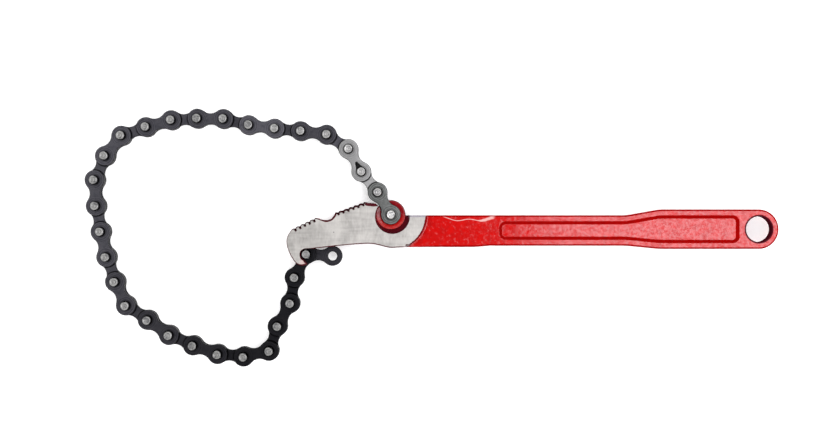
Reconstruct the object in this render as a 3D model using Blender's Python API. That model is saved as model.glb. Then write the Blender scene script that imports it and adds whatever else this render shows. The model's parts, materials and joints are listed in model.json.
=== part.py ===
"""Chain wrench: one forged body with a toothed and forked head, and a leaf chain with long pins.

The body lies flat with its handle along +X. The chain leaves the anchor pocket on the top edge,
goes round the space where a pipe sits, and its last pin lies in the hook on the underside of the
nose. Everything is symmetric about one level middle plane, and every chain joint turns about +Z.
The model is laid out round the anchor rivet and then placed by one empty, so that the middle of
its bounding box, at floor level, is the world's origin.
"""
import math

import bmesh
import bpy
import numpy as np
from mathutils import Matrix, Vector

MM = 0.001

# Chain: a 2 by 2 leaf chain, two inner plates side by side between two outer plates
PITCH = 15.875 * MM
LINK_COUNT = 30
PIN_DIAMETER = 5.08 * MM
PIN_LENGTH = 17.4 * MM
PIN_SIDES = 10
HOLE_CLEARANCE = 0.27 * MM
LOBE_DIAMETER = 12.1 * MM
LOBE_STEPS = 7
WAIST_WIDTH = 6.5 * MM
PLATE_THICKNESS = 1.7 * MM
PLATE_GAP = 0.3 * MM

# The connecting plate on link 3 has a keyhole: its first hole, drawn out to a blunt tip
CONNECTING_LINK = 3
KEYHOLE_REACH = 6.6 * MM
KEYHOLE_TIP_WIDTH = 1.4 * MM
KEYHOLE_OPENING = math.radians(62)
# The links up to the connecting plate are lighter than the rest
LAST_BRIGHT_LINK = 3

# How the chain lies: the heading of each link, in degrees from +X, before the loop is closed
LINK_HEADINGS = [
    120, 128, 119, 146, 172, 174, 172, 166, 179, 183,
    195, 199, 231, 247, 273, 281, 283, 290, 295, 327,
    325, 337, 341, 355, 373, 431, 421, 440, 423, 356,
]
CLOSING_ROUNDS = 12

# Handle, measured from the anchor rivet
HANDLE_REACH = 235.4 * MM
HANDLE_THICKNESS = 9.5 * MM
HANDLE_WIDTH = 18.5 * MM
HANDLE_DROP = 9.6 * MM
END_WIDTH = 24.0 * MM
END_DROP = 8.8 * MM
END_STEPS = 14
FLARE_START = 141.0 * MM
FLARE_END = 165.0 * MM
FLARE_STEPS = 4
HANG_HOLE_DIAMETER = 15.6 * MM
HANG_HOLE_CHAMFER = 0.9 * MM
HANG_HOLE_STEPS = 20
PANEL_START = 65.2 * MM
PANEL_END = 211.6 * MM
PANEL_RIM = 3.3 * MM
PANEL_DEPTH = 1.3 * MM
PANEL_CORNER = 3.0 * MM
PANEL_CORNER_STEPS = 3

# Head, measured from the anchor rivet
HEAD_THICKNESS = 18.0 * MM
NOSE_REACH = 62.9 * MM
LIP_DROP = 30.8 * MM
GROUND_RADIUS = 20.6 * MM
NECK_RADIUS = 58.0 * MM
NECK_STEPS = 20
NECK_SWEEP = math.radians(176)
BOSS_RADIUS = 8.9 * MM
BOSS_TOE_TURN = math.radians(6)
BOSS_STEPS = 14
POCKET_RADIUS = 10.5 * MM
# The pocket's centre, from the anchor rivet
POCKET_SHIFT = Vector((1.06, -1.08)) * MM
POCKET_STEPS = 28
LUG_CLEARANCE = 0.3 * MM
# The hook's centre: how far behind the nose, and how far above the lowest point of the lip
HOOK_SETBACK = 11.6 * MM
HOOK_RISE = 6.8 * MM
HOOK_RADIUS = 3.3 * MM
HOOK_STEPS = 9
HOOK_LIP_ANGLE = math.radians(-110)
HOOK_MOUTH_ANGLE = math.radians(-270)
# The end of the lip, from the hook's centre: it leaves the way out free for the hook pin
LIP_END = (Vector((1.0, -6.1)) * MM, Vector((0.35, -5.05)) * MM, Vector((-0.25, -4.15)) * MM)
SLOT_CLEARANCE = 0.6 * MM
SLOT_BACK = 8.3 * MM
SLOT_MARGIN = 1.2 * MM
REAR_TEETH = 6
FRONT_TEETH = 5
TOOTH_DEPTH = 1.9 * MM

# Head outline: shares of the nose's reach and of the lip's drop, from the anchor rivet
REAR_TOE_SHARE = (-0.218, 0.234)
REAR_ROW_SHARES = ((-0.248, 0.253), (-0.533, 0.042))
SADDLE_SHARES = ((-0.542, -0.006), (-0.572, -0.078), (-0.622, -0.107), (-0.680, -0.088))
FRONT_ROW_SHARES = ((-0.720, -0.058), (-0.946, -0.279))
NOSE_SHARES = (
    (-0.970, -0.345), (-0.990, -0.415), (-1.000, -0.490), (-0.998, -0.590), (-0.984, -0.692),
    (-0.955, -0.825), (-0.916, -0.942), (-0.885, -0.984), (-0.852, -1.000), (-0.812, -0.981),
)
UNDERSIDE_SHARES = (
    (-0.680, -0.646), (-0.514, -0.604), (-0.316, -0.565), (-0.199, -0.555), (-0.140, -0.575),
    (-0.081, -0.607), (-0.030, -0.636), (0.017, -0.646), (0.127, -0.638), (0.320, -0.616),
)
# Shares of the way from the ground face's rim to the handle's start, and of the drop between them
NECK_PROFILE_SHARES = ((0.03, 0.50), (0.06, 0.78), (0.11, 0.94), (0.20, 1.00), (1.00, 1.00))

# A cutter runs past the faces that it cuts by this much
OVERRUN = 2.0 * MM
# Points closer than this are one point
WELD = 0.001 * MM
# An edge that turns by more than this is shaded as a corner
SHARP_ANGLE = math.radians(38)

PIN_RADIUS = PIN_DIAMETER / 2
HOLE_RADIUS = PIN_RADIUS + HOLE_CLEARANCE
LOBE_RADIUS = LOBE_DIAMETER / 2
INNER_LEVEL = (PLATE_GAP + PLATE_THICKNESS) / 2
OUTER_LEVEL = INNER_LEVEL + PLATE_THICKNESS + PLATE_GAP
LUG_THICKNESS = 2 * (OUTER_LEVEL - PLATE_THICKNESS / 2 - LUG_CLEARANCE)
SLOT_WIDTH = 2 * (OUTER_LEVEL + PLATE_THICKNESS / 2 + SLOT_CLEARANCE)
HOOK_CENTRE = Vector((HOOK_SETBACK - NOSE_REACH, HOOK_RISE - LIP_DROP))
HANG_HOLE_CENTRE = Vector((HANDLE_REACH - END_WIDTH / 2, -END_DROP))


def clear_scene():
    """Removes every object that is in the scene."""
    for old in list(bpy.data.objects):
        bpy.data.objects.remove(old, do_unlink=True)


def collection(name):
    """A new collection in the scene."""
    group = bpy.data.collections.new(name)
    bpy.context.scene.collection.children.link(group)
    return group


def material(name, colour, roughness, metallic):
    """A plain material with a Principled BSDF."""
    made = bpy.data.materials.new(name)
    made.use_nodes = True
    shader = made.node_tree.nodes["Principled BSDF"]
    shader.inputs["Base Color"].default_value = (*colour, 1.0)
    shader.inputs["Roughness"].default_value = roughness
    shader.inputs["Metallic"].default_value = metallic
    return made


def arc(centre, radius, start, end, steps):
    """Points on an arc from one angle to another, both ends included."""
    turns = [start + (end - start) * i / steps for i in range(steps + 1)]
    return [Vector((centre[0] + radius * math.cos(a), centre[1] + radius * math.sin(a))) for a in turns]


def circle(centre, radius, steps):
    """Points on a full circle, without the repeated last one."""
    return arc(centre, radius, 0.0, math.tau, steps)[:-1]


def at_share(share):
    """A point of the head outline, from its two shares."""
    return Vector((share[0] * NOSE_REACH, share[1] * LIP_DROP))


def tooth_row(first, last, teeth):
    """Tooth tips and the roots between them, from the first tip to the last, solid on the left hand."""
    along = (last - first) / teeth
    inward = Vector((-along.y, along.x)).normalized() * TOOTH_DEPTH
    points = [first]
    for i in range(teeth):
        points.append(first + along * (i + 0.5) + inward)
        points.append(first + along * (i + 1))
    return points


def handle_edge(side):
    """The long edge of the handle, above (+1) or below (-1) its axis, from the head to the end."""
    narrow = -HANDLE_DROP + side * HANDLE_WIDTH / 2
    wide = -END_DROP + side * END_WIDTH / 2
    points = []
    for i in range(FLARE_STEPS + 1):
        share = i / FLARE_STEPS
        ease = share * share * (3 - 2 * share)
        x = FLARE_START + (FLARE_END - FLARE_START) * share
        points.append(Vector((x, narrow + (wide - narrow) * ease)))
    return points


def body_outline():
    """The forging's outline, counter-clockwise from the boss round the anchor rivet."""
    top_of_handle = -HANDLE_DROP + HANDLE_WIDTH / 2
    toe = at_share(REAR_TOE_SHARE)
    boss_start = math.asin(top_of_handle / BOSS_RADIUS)
    boss_end = math.atan2(toe.y, toe.x) - BOSS_TOE_TURN
    points = arc((0, 0), BOSS_RADIUS, boss_start, boss_end, BOSS_STEPS)
    points.append(toe)
    points += tooth_row(*[at_share(s) for s in REAR_ROW_SHARES], REAR_TEETH)
    points += [at_share(s) for s in SADDLE_SHARES]
    points += tooth_row(*[at_share(s) for s in FRONT_ROW_SHARES], FRONT_TEETH)
    points += [at_share(s) for s in NOSE_SHARES]
    points += [HOOK_CENTRE + offset for offset in LIP_END]
    points += arc(HOOK_CENTRE, HOOK_RADIUS, HOOK_LIP_ANGLE, HOOK_MOUTH_ANGLE, HOOK_STEPS)
    points += [at_share(s) for s in UNDERSIDE_SHARES]
    points += handle_edge(-1)
    points += arc(HANG_HOLE_CENTRE, END_WIDTH / 2, -math.pi / 2, math.pi / 2, END_STEPS)
    points += reversed(handle_edge(1))
    return points


def panel_outline():
    """The sunken panel of the handle: its edges follow the handle's at one rim's width."""
    def corner(centre_x, centre_y, start):
        return arc((centre_x, centre_y), PANEL_CORNER, start, start + math.pi / 2, PANEL_CORNER_STEPS)

    narrow_half = HANDLE_WIDTH / 2 - PANEL_RIM
    wide_half = END_WIDTH / 2 - PANEL_RIM
    left = PANEL_START + PANEL_CORNER
    right = PANEL_END - PANEL_CORNER
    lower = [Vector((p.x, p.y + PANEL_RIM)) for p in handle_edge(-1)]
    upper = [Vector((p.x, p.y - PANEL_RIM)) for p in handle_edge(1)]
    points = corner(left, -HANDLE_DROP - narrow_half + PANEL_CORNER, math.pi)
    points += lower
    points += corner(right, -END_DROP - wide_half + PANEL_CORNER, -math.pi / 2)
    points += corner(right, -END_DROP + wide_half - PANEL_CORNER, 0.0)
    points += reversed(upper)
    points += corner(left, -HANDLE_DROP + narrow_half - PANEL_CORNER, math.pi / 2)
    return points


def slot_outline():
    """The gap between the two cheeks: open at the nose, the front teeth and the hook."""
    beyond = NOSE_REACH + LOBE_DIAMETER
    back = HOOK_CENTRE.x + SLOT_BACK
    shelf = HOOK_CENTRE.y + LOBE_RADIUS + SLOT_MARGIN
    tail = HOOK_CENTRE.x + PITCH + LOBE_RADIUS + SLOT_MARGIN
    return [
        Vector((-beyond, LOBE_RADIUS)), Vector((-beyond, -LIP_DROP - LOBE_RADIUS)),
        Vector((tail, -LIP_DROP - LOBE_RADIUS)), Vector((tail, shelf - SLOT_MARGIN)),
        Vector((tail - SLOT_MARGIN, shelf)), Vector((back + SLOT_MARGIN, shelf)),
        Vector((back, shelf + SLOT_MARGIN)), Vector((back, LOBE_RADIUS)),
    ]


def plate_outline():
    """A figure of eight round both pins, with its first pin at the origin and its second on +X."""
    half = WAIST_WIDTH / 2
    middle = PITCH / 2
    # The waist is an arc outside the plate that touches both lobes
    hollow = (middle ** 2 + half ** 2 - LOBE_RADIUS ** 2) / (2 * (LOBE_RADIUS - half))
    lean = math.atan2(half + hollow, middle)
    first = arc((0, 0), LOBE_RADIUS, lean, math.tau - lean, LOBE_STEPS)
    second = arc((PITCH, 0), LOBE_RADIUS, lean - math.pi, math.pi - lean, LOBE_STEPS)
    return first + [Vector((middle, -half))] + second + [Vector((middle, half))]


def keyhole_outline():
    """The round hole of the connecting plate, drawn out to a blunt tip along the plate."""
    around = arc((0, 0), HOLE_RADIUS, KEYHOLE_OPENING, math.tau - KEYHOLE_OPENING, PIN_SIDES)
    half_tip = KEYHOLE_TIP_WIDTH / 2
    return around + [Vector((KEYHOLE_REACH, -half_tip)), Vector((KEYHOLE_REACH, half_tip))]


def flat_solid(name, outlines, thickness, group):
    """A flat outline, with any holes in it, as a closed mesh of one thickness about its middle plane."""
    curve = bpy.data.curves.new(name, "CURVE")
    curve.dimensions = "2D"
    curve.fill_mode = "BOTH"
    curve.extrude = thickness / 2
    for points in outlines:
        spline = curve.splines.new("POLY")
        spline.points.add(len(points) - 1)
        for spot, point in zip(spline.points, points):
            spot.co = (point[0], point[1], 0.0, 1.0)
        spline.use_cyclic_u = True
    guide = bpy.data.objects.new(name + ".guide", curve)
    bpy.context.scene.collection.objects.link(guide)
    bpy.context.view_layer.update()
    mesh = bpy.data.meshes.new_from_object(guide.evaluated_get(bpy.context.evaluated_depsgraph_get()))
    bpy.data.objects.remove(guide, do_unlink=True)
    work = bmesh.new()
    work.from_mesh(mesh)
    bmesh.ops.remove_doubles(work, verts=work.verts, dist=WELD)
    bmesh.ops.recalc_face_normals(work, faces=work.faces)
    work.to_mesh(mesh)
    work.free()
    solid = bpy.data.objects.new(name, mesh)
    group.objects.link(solid)
    return solid


def round_solid(name, radius, length, sides, group, top_radius=None):
    """A cylinder about +Z, centred on its origin, or a cone where its top has a radius of its own."""
    mesh = bpy.data.meshes.new(name)
    work = bmesh.new()
    bmesh.ops.create_cone(
        work, cap_ends=True, segments=sides, radius1=radius,
        radius2=radius if top_radius is None else top_radius, depth=length)
    work.to_mesh(mesh)
    work.free()
    solid = bpy.data.objects.new(name, mesh)
    group.objects.link(solid)
    return solid


def swept_cutter(name, profile, start, angle, steps, group):
    """A profile in radius and height, turned through part of a turn about +Z, closed at both ends."""
    mesh = bpy.data.meshes.new(name)
    work = bmesh.new()
    face = work.faces.new([work.verts.new((r, 0.0, z)) for r, z in profile])
    bmesh.ops.rotate(work, verts=work.verts, cent=(0, 0, 0), matrix=Matrix.Rotation(start, 3, "Z"))
    bmesh.ops.spin(
        work, geom=[face, *face.edges, *face.verts], cent=(0, 0, 0), axis=(0, 0, 1),
        angle=angle, steps=steps, use_duplicate=False)
    bmesh.ops.remove_doubles(work, verts=work.verts, dist=WELD)
    bmesh.ops.recalc_face_normals(work, faces=work.faces)
    work.to_mesh(mesh)
    work.free()
    solid = bpy.data.objects.new(name, mesh)
    group.objects.link(solid)
    return solid


def cut(target, cutter):
    """Takes the cutter's space out of the target, and keeps the cutter as a hidden guide."""
    cutter.hide_render = True
    cutter.display_type = "WIRE"
    cutter.parent = target.parent
    trim = target.modifiers.new(cutter.name, "BOOLEAN")
    trim.operation = "DIFFERENCE"
    trim.object = cutter


def shade(mesh):
    """Shades a mesh smooth, but for its sharp edges."""
    mesh.shade_smooth()
    mesh.set_sharp_from_angle(angle=SHARP_ANGLE)


def neck_profile():
    """The part of the full thickness that the neck and the handle lose, as radius and height."""
    rim = HEAD_THICKNESS / 2
    drop = (HEAD_THICKNESS - HANDLE_THICKNESS) / 2
    run = NECK_RADIUS - GROUND_RADIUS
    slope = [(GROUND_RADIUS + run * a, rim - drop * b) for a, b in NECK_PROFILE_SHARES]
    steepness = (rim - slope[0][1]) / (slope[0][0] - GROUND_RADIUS)
    beyond = HANDLE_REACH + OVERRUN
    start = (GROUND_RADIUS - OVERRUN / steepness, rim + OVERRUN)
    return [start, *slope, (beyond, HANDLE_THICKNESS / 2), (beyond, rim + OVERRUN)]


def make_body(root, parts, cutters, paint):
    """The forging: handle, neck, head with its teeth, cheeks, hook, pockets and lug."""
    body = flat_solid("wrench_body", [body_outline()], HEAD_THICKNESS, parts)
    body.parent = root
    body.data.materials.append(paint)
    for side, word in ((1, "upper"), (-1, "lower")):
        profile = [(r, side * z) for r, z in neck_profile()]
        cut(body, swept_cutter(
            "neck_" + word, profile, -math.pi / 2, NECK_SWEEP, NECK_STEPS, cutters))
        depth = (HEAD_THICKNESS - LUG_THICKNESS) / 2 + OVERRUN
        pocket = round_solid("pocket_" + word, POCKET_RADIUS, depth, POCKET_STEPS, cutters)
        pocket.location = (*POCKET_SHIFT, side * (LUG_THICKNESS + depth) / 2)
        cut(body, pocket)
        panel = flat_solid("panel_" + word, [panel_outline()], PANEL_DEPTH + OVERRUN, cutters)
        panel.location.z = side * (HANDLE_THICKNESS / 2 - PANEL_DEPTH + (PANEL_DEPTH + OVERRUN) / 2)
        cut(body, panel)
        depth = HANG_HOLE_CHAMFER + OVERRUN
        edge = round_solid(
            "hang_hole_edge_" + word, HANG_HOLE_DIAMETER / 2, depth, HANG_HOLE_STEPS, cutters,
            top_radius=HANG_HOLE_DIAMETER / 2 + depth)
        edge.rotation_euler.x = 0.0 if side > 0 else math.pi
        edge.location = (*HANG_HOLE_CENTRE, side * (HANDLE_THICKNESS / 2 - HANG_HOLE_CHAMFER + depth / 2))
        cut(body, edge)
    cut(body, flat_solid("jaw_slot", [slot_outline()], SLOT_WIDTH, cutters))
    cut(body, round_solid("lug_hole", HOLE_RADIUS, LUG_THICKNESS + OVERRUN, PIN_SIDES, cutters))
    hang = round_solid(
        "hang_hole", HANG_HOLE_DIAMETER / 2, HANDLE_THICKNESS + OVERRUN, HANG_HOLE_STEPS, cutters)
    hang.location.xy = HANG_HOLE_CENTRE
    cut(body, hang)
    bpy.context.view_layer.update()
    graph = bpy.context.evaluated_depsgraph_get()
    finished = bpy.data.meshes.new_from_object(body.evaluated_get(graph))
    body.modifiers.clear()
    body.data = finished
    shade(finished)


def chain_headings():
    """Link headings in radians, evenly corrected so that the hook pin lies in the hook."""
    headings = np.radians(np.array(LINK_HEADINGS, dtype=float))
    target = np.array(HOOK_CENTRE)
    for _ in range(CLOSING_ROUNDS):
        held = headings[:LINK_COUNT - 1]
        reached = PITCH * np.array((np.cos(held).sum(), np.sin(held).sum()))
        turn = PITCH * np.array((-np.sin(held), np.cos(held)))
        headings[:LINK_COUNT - 1] += turn.T @ np.linalg.solve(turn @ turn.T, target - reached)
    return headings


def pin_plate_shape(solid_plate, pins, cutters):
    """One mesh of a lower outer plate with its two pins riveted in, about the link's first pin."""
    shape = bpy.data.objects.new("pin_plate.shape", solid_plate)
    cutters.objects.link(shape)
    shape.location.z = -OUTER_LEVEL
    guides = [shape]
    for number, reach in enumerate((0.0, PITCH)):
        pin = bpy.data.objects.new("pin_guide_%d" % number, pins)
        cutters.objects.link(pin)
        pin.location.x = reach
        rivet = shape.modifiers.new(pin.name, "BOOLEAN")
        rivet.operation = "UNION"
        rivet.object = pin
        guides.append(pin)
    bpy.context.view_layer.update()
    graph = bpy.context.evaluated_depsgraph_get()
    mesh = bpy.data.meshes.new_from_object(shape.evaluated_get(graph))
    mesh.transform(Matrix.Translation((0.0, 0.0, -OUTER_LEVEL)))
    for guide in guides:
        bpy.data.objects.remove(guide, do_unlink=True)
    return mesh


def chain_shapes(cutters):
    """The meshes that the chain's pieces share, by kind."""
    outline = plate_outline()
    first, second = (circle((reach, 0), HOLE_RADIUS, PIN_SIDES) for reach in (0.0, PITCH))
    pair = PLATE_THICKNESS * 2 + PLATE_GAP
    guides = {
        "plate": flat_solid("plate.shape", [outline, first, second], PLATE_THICKNESS, cutters),
        "keyed": flat_solid(
            "keyed.shape", [outline, keyhole_outline(), second], PLATE_THICKNESS, cutters),
        "pair": flat_solid("pair.shape", [outline, first, second], pair, cutters),
        "blank": flat_solid("blank.shape", [outline], PLATE_THICKNESS, cutters),
        "pin": round_solid("pin.shape", PIN_RADIUS, PIN_LENGTH, PIN_SIDES, cutters),
    }
    shapes = {kind: guide.data for kind, guide in guides.items()}
    for guide in guides.values():
        bpy.data.objects.remove(guide, do_unlink=True)
    shapes["pin_plate"] = pin_plate_shape(shapes["blank"], shapes["pin"], cutters)
    for mesh in shapes.values():
        mesh.materials.clear()
        mesh.materials.append(None)
        shade(mesh)
    return shapes


def link_pieces(number):
    """The pieces of one link: each one's name, kind of mesh, level above the middle plane and finish."""
    finish = "bright" if number <= LAST_BRIGHT_LINK else "dark"
    if number == LINK_COUNT:
        return [("end_link", "pair", 0.0, finish)]
    if number % 2 == 0:
        return [
            ("inner_plate_upper", "plate", INNER_LEVEL, finish),
            ("inner_plate_lower", "plate", -INNER_LEVEL, finish),
        ]
    pins = ("pin_plate", "pin_plate", 0.0, "pin")
    if number == CONNECTING_LINK:
        return [("connecting_plate", "keyed", OUTER_LEVEL, finish), pins]
    return [("outer_plate_upper", "plate", OUTER_LEVEL, finish), pins]


def make_chain(root, parts, cutters, finishes):
    """The thirty links, each on an empty at its own first pin, each carried by the one before it."""
    shapes = chain_shapes(cutters)
    carrier = root
    previous = 0.0
    for number, heading in enumerate(chain_headings(), start=1):
        link = bpy.data.objects.new("link_%02d" % number, None)
        parts.objects.link(link)
        link.parent = carrier
        link.location.x = 0.0 if number == 1 else PITCH
        link.rotation_euler.z = heading - previous
        for name, kind, level, finish in link_pieces(number):
            piece = bpy.data.objects.new("%s_%02d" % (name, number), shapes[kind])
            parts.objects.link(piece)
            piece.parent = link
            piece.location.z = level
            piece.material_slots[0].link = "OBJECT"
            piece.material_slots[0].material = finishes[finish]
        carrier = link
        previous = heading


def place_on_floor(root, parts):
    """Moves the root empty so that the middle of the base of the bounding box is the origin."""
    bpy.context.view_layer.update()
    graph = bpy.context.evaluated_depsgraph_get()
    corners = []
    for piece in parts.objects:
        if piece.type == "MESH":
            seen = piece.evaluated_get(graph)
            spots = np.array([seen.matrix_world @ v.co for v in seen.data.vertices])
            corners += [spots.min(axis=0), spots.max(axis=0)]
    low = np.min(corners, axis=0)
    high = np.max(corners, axis=0)
    root.location = Vector((-(low[0] + high[0]) / 2, -(low[1] + high[1]) / 2, -low[2]))
    bpy.context.view_layer.update()


def main():
    """Builds the wrench in its own collection."""
    clear_scene()
    parts = collection("chain_wrench")
    cutters = collection("cutters")
    root = bpy.data.objects.new("chain_wrench", None)
    parts.objects.link(root)
    paint = material("red_paint", (0.66, 0.02, 0.02), 0.3, 0.0)
    finishes = {
        "dark": material("chain_steel", (0.06, 0.06, 0.068), 0.45, 0.8),
        "bright": material("bright_link_steel", (0.40, 0.40, 0.41), 0.4, 0.9),
        "pin": material("pin_steel", (0.58, 0.58, 0.57), 0.35, 1.0),
    }
    make_body(root, parts, cutters, paint)
    make_chain(root, parts, cutters, finishes)
    place_on_floor(root, parts)


main()
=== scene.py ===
"""A chain wrench lying flat on a pale floor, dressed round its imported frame.

The forging and every plate and pin of the chain are modelled again here with round edges and fine
surfaces. Each piece keeps the place of the CAD node that it stands for, and rides on its body.
"""
from __future__ import annotations

import json
import logging
import math
from collections.abc import Iterable, Iterator
from contextlib import contextmanager
from dataclasses import dataclass, field
from enum import Enum

import bmesh
import bpy
from mathutils import Matrix, Vector

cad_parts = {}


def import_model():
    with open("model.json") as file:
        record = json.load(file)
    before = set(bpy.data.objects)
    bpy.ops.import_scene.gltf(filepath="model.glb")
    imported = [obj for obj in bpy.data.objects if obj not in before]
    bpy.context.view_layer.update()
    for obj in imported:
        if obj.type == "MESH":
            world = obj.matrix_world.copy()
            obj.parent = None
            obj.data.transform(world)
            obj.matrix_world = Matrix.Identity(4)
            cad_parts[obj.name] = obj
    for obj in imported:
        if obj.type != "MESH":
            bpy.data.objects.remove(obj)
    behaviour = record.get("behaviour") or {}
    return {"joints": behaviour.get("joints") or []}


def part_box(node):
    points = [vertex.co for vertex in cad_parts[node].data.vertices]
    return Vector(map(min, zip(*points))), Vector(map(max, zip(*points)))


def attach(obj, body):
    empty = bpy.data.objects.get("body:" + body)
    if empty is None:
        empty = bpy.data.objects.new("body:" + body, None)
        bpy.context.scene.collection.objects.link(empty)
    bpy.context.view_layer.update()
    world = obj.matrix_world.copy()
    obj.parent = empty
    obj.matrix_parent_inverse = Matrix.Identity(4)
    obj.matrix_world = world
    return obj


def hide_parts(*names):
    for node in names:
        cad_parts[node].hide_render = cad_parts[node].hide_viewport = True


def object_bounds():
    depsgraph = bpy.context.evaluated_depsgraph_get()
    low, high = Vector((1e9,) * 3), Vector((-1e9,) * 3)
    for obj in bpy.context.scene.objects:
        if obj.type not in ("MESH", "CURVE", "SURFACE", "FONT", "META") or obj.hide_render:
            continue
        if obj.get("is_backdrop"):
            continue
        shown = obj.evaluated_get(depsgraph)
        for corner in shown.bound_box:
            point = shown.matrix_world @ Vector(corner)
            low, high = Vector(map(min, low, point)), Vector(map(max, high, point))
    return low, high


LOG = logging.getLogger("chain_wrench")
MM = 0.001
NO_GAP = 1e-7
Socket = bpy.types.NodeSocket
Place = tuple[float, float]
Span = tuple[float, float]
Spot = tuple[float, float, float, float]
Colour = tuple[float, float, float, float]


class Side(Enum):
    """The two faces of the wrench, which are alike."""

    UPPER = 1
    LOWER = -1


class LinkKind(Enum):
    """The two kinds of link, which take turns along the chain."""

    OUTER = "side_plate"
    INNER = "inside_plate"


# Small helpers for meshes

def finished_mesh(obj: bpy.types.Object) -> bpy.types.Mesh:
    """The object's mesh with its modifiers applied.

    Args:
        obj: the object to evaluate.

    Returns:
        A new mesh of its own.
    """
    bpy.context.view_layer.update()
    graph = bpy.context.evaluated_depsgraph_get()
    return bpy.data.meshes.new_from_object(obj.evaluated_get(graph))


def stored(work: bmesh.types.BMesh, name: str) -> bpy.types.Mesh:
    """Writes a bmesh to a new mesh and frees it.

    Args:
        work: the bmesh.
        name: the mesh's name.

    Returns:
        The new mesh.
    """
    mesh = bpy.data.meshes.new(name)
    work.to_mesh(mesh)
    work.free()
    return mesh


def placed(name: str, mesh: bpy.types.Mesh) -> bpy.types.Object:
    """Puts a mesh in the scene as an object at the origin.

    Args:
        name: the object's name.
        mesh: its mesh.

    Returns:
        The object.
    """
    obj = bpy.data.objects.new(name, mesh)
    bpy.context.scene.collection.objects.link(obj)
    return obj


def put(name: str, work: bmesh.types.BMesh) -> bpy.types.Object:
    """Puts a bmesh in the scene as an object at the origin, and frees it."""
    return placed(name, stored(work, name))


@contextmanager
def opened(mesh: bpy.types.Mesh) -> Iterator[bmesh.types.BMesh]:
    """Opens a mesh as a bmesh, and writes it back afterwards.

    Args:
        mesh: the mesh.

    Yields:
        The bmesh.
    """
    work = bmesh.new()
    work.from_mesh(mesh)
    yield work
    work.to_mesh(mesh)
    work.free()


def once(items: Iterable[object]) -> list[object]:
    """The items in their own order, each only once."""
    return list(dict.fromkeys(items))


def in_order(work: bmesh.types.BMesh) -> None:
    """Puts a mesh's elements in an order that only its shape sets, the same in each run.

    Args:
        work: the bmesh.
    """
    ranks = {v: rank for rank, v in enumerate(sorted(work.verts, key=lambda v: v.co[:]))}
    work.verts.sort(key=ranks.get)
    for elements in (work.edges, work.faces):
        ordered = sorted(elements, key=lambda e: sorted(ranks[v] for v in e.verts))
        places = {e: place for place, e in enumerate(ordered)}
        elements.sort(key=places.get)


def removed(*objects: bpy.types.Object) -> None:
    """Takes helper objects out of the file."""
    for obj in objects:
        bpy.data.objects.remove(obj, do_unlink=True)


def arc(centre: Vector, radius: float, start: float, end: float, steps: int) -> list[Vector]:
    """Points on an arc, both ends included.

    Args:
        centre: its centre.
        radius: its radius.
        start: the first angle, in radians.
        end: the last angle.
        steps: how many equal steps lie between them.

    Returns:
        The points.
    """
    turns = [start + (end - start) * i / steps for i in range(steps + 1)]
    return [centre + Vector((math.cos(a), math.sin(a))) * radius for a in turns]


def smooth_run(corners: list[Vector], step: float) -> list[Vector]:
    """A smooth curve through a few points.

    Args:
        corners: the points that it goes through.
        step: the distance between its own points.

    Returns:
        The curve's points, from the first corner to the last.
    """
    padded = [corners[0] * 2 - corners[1], *corners, corners[-1] * 2 - corners[-2]]
    points = [corners[0]]
    for before, a, b, after in zip(padded, padded[1:], padded[2:], padded[3:]):
        count = max(1, round((b - a).length / step))
        for i in range(1, count + 1):
            t = i / count
            points.append(0.5 * (
                2 * a + (b - before) * t + (2 * before - 5 * a + 4 * b - after) * t ** 2
                + (3 * a - before - 3 * b + after) * t ** 3))
    return points


def raised(work: bmesh.types.BMesh, base: list[bmesh.types.BMFace], height: float) -> None:
    """Makes a closed solid of some flat faces by raising them.

    Args:
        work: the bmesh.
        base: the faces.
        height: how far they are raised.
    """
    grown = bmesh.ops.extrude_face_region(work, geom=base)
    top = [v for v in grown["geom"] if isinstance(v, bmesh.types.BMVert)]
    bmesh.ops.translate(work, verts=top, vec=(0, 0, height))
    bmesh.ops.recalc_face_normals(work, faces=work.faces)


def prism(outline: list[Vector], low: float, high: float) -> bmesh.types.BMesh:
    """A closed solid with one outline, between two heights.

    Args:
        outline: its corners, counter-clockwise.
        low: the height of its base.
        high: the height of its top.

    Returns:
        The bmesh.
    """
    work = bmesh.new()
    base = work.faces.new([work.verts.new((p.x, p.y, low)) for p in outline])
    raised(work, [base], high - low)
    return work


def turned(profile: list[tuple[float, float]], sides: int, centre: Vector) -> bmesh.types.BMesh:
    """A closed solid turned about +Z from a profile that starts and ends on its axis.

    Args:
        profile: radius and height of each point, bottom to top.
        sides: how many sides it gets.
        centre: where its axis stands.

    Returns:
        The bmesh.
    """
    work = bmesh.new()
    verts = [work.verts.new((r, 0, z)) for r, z in profile]
    edges = [work.edges.new(pair) for pair in zip(verts, verts[1:])]
    bmesh.ops.spin(
        work, geom=[*verts, *edges], cent=(0, 0, 0), axis=(0, 0, 1), angle=math.tau,
        steps=sides, use_merge=True, use_normal_flip=False, use_duplicate=False)
    bmesh.ops.remove_doubles(work, verts=work.verts, dist=NO_GAP)
    bmesh.ops.recalc_face_normals(work, faces=work.faces)
    bmesh.ops.translate(work, verts=work.verts, vec=(centre.x, centre.y, 0))
    return work


def rim_edges(work: bmesh.types.BMesh) -> list[bmesh.types.BMEdge]:
    """The edges between a level face and an upright wall.

    Args:
        work: the bmesh.

    Returns:
        The edges.
    """
    rims = []
    for edge in work.edges:
        tilts = [abs(f.normal.z) for f in edge.link_faces]
        if len(tilts) == 2 and abs(tilts[0] - tilts[1]) > 0.9:
            rims.append(edge)
    return rims


def mapped(work: bmesh.types.BMesh, unit: float) -> None:
    """Maps a plate or a pin by place, so that its finish can follow its pins.

    Args:
        work: the bmesh, about a plate's first pin or a pin's own middle.
        unit: the length that the map counts as one.
    """
    layer = work.loops.layers.uv.new("plate_map")
    for face in work.faces:
        for loop in face.loops:
            loop[layer].uv = (loop.vert.co.x / unit, loop.vert.co.y / unit)


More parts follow.
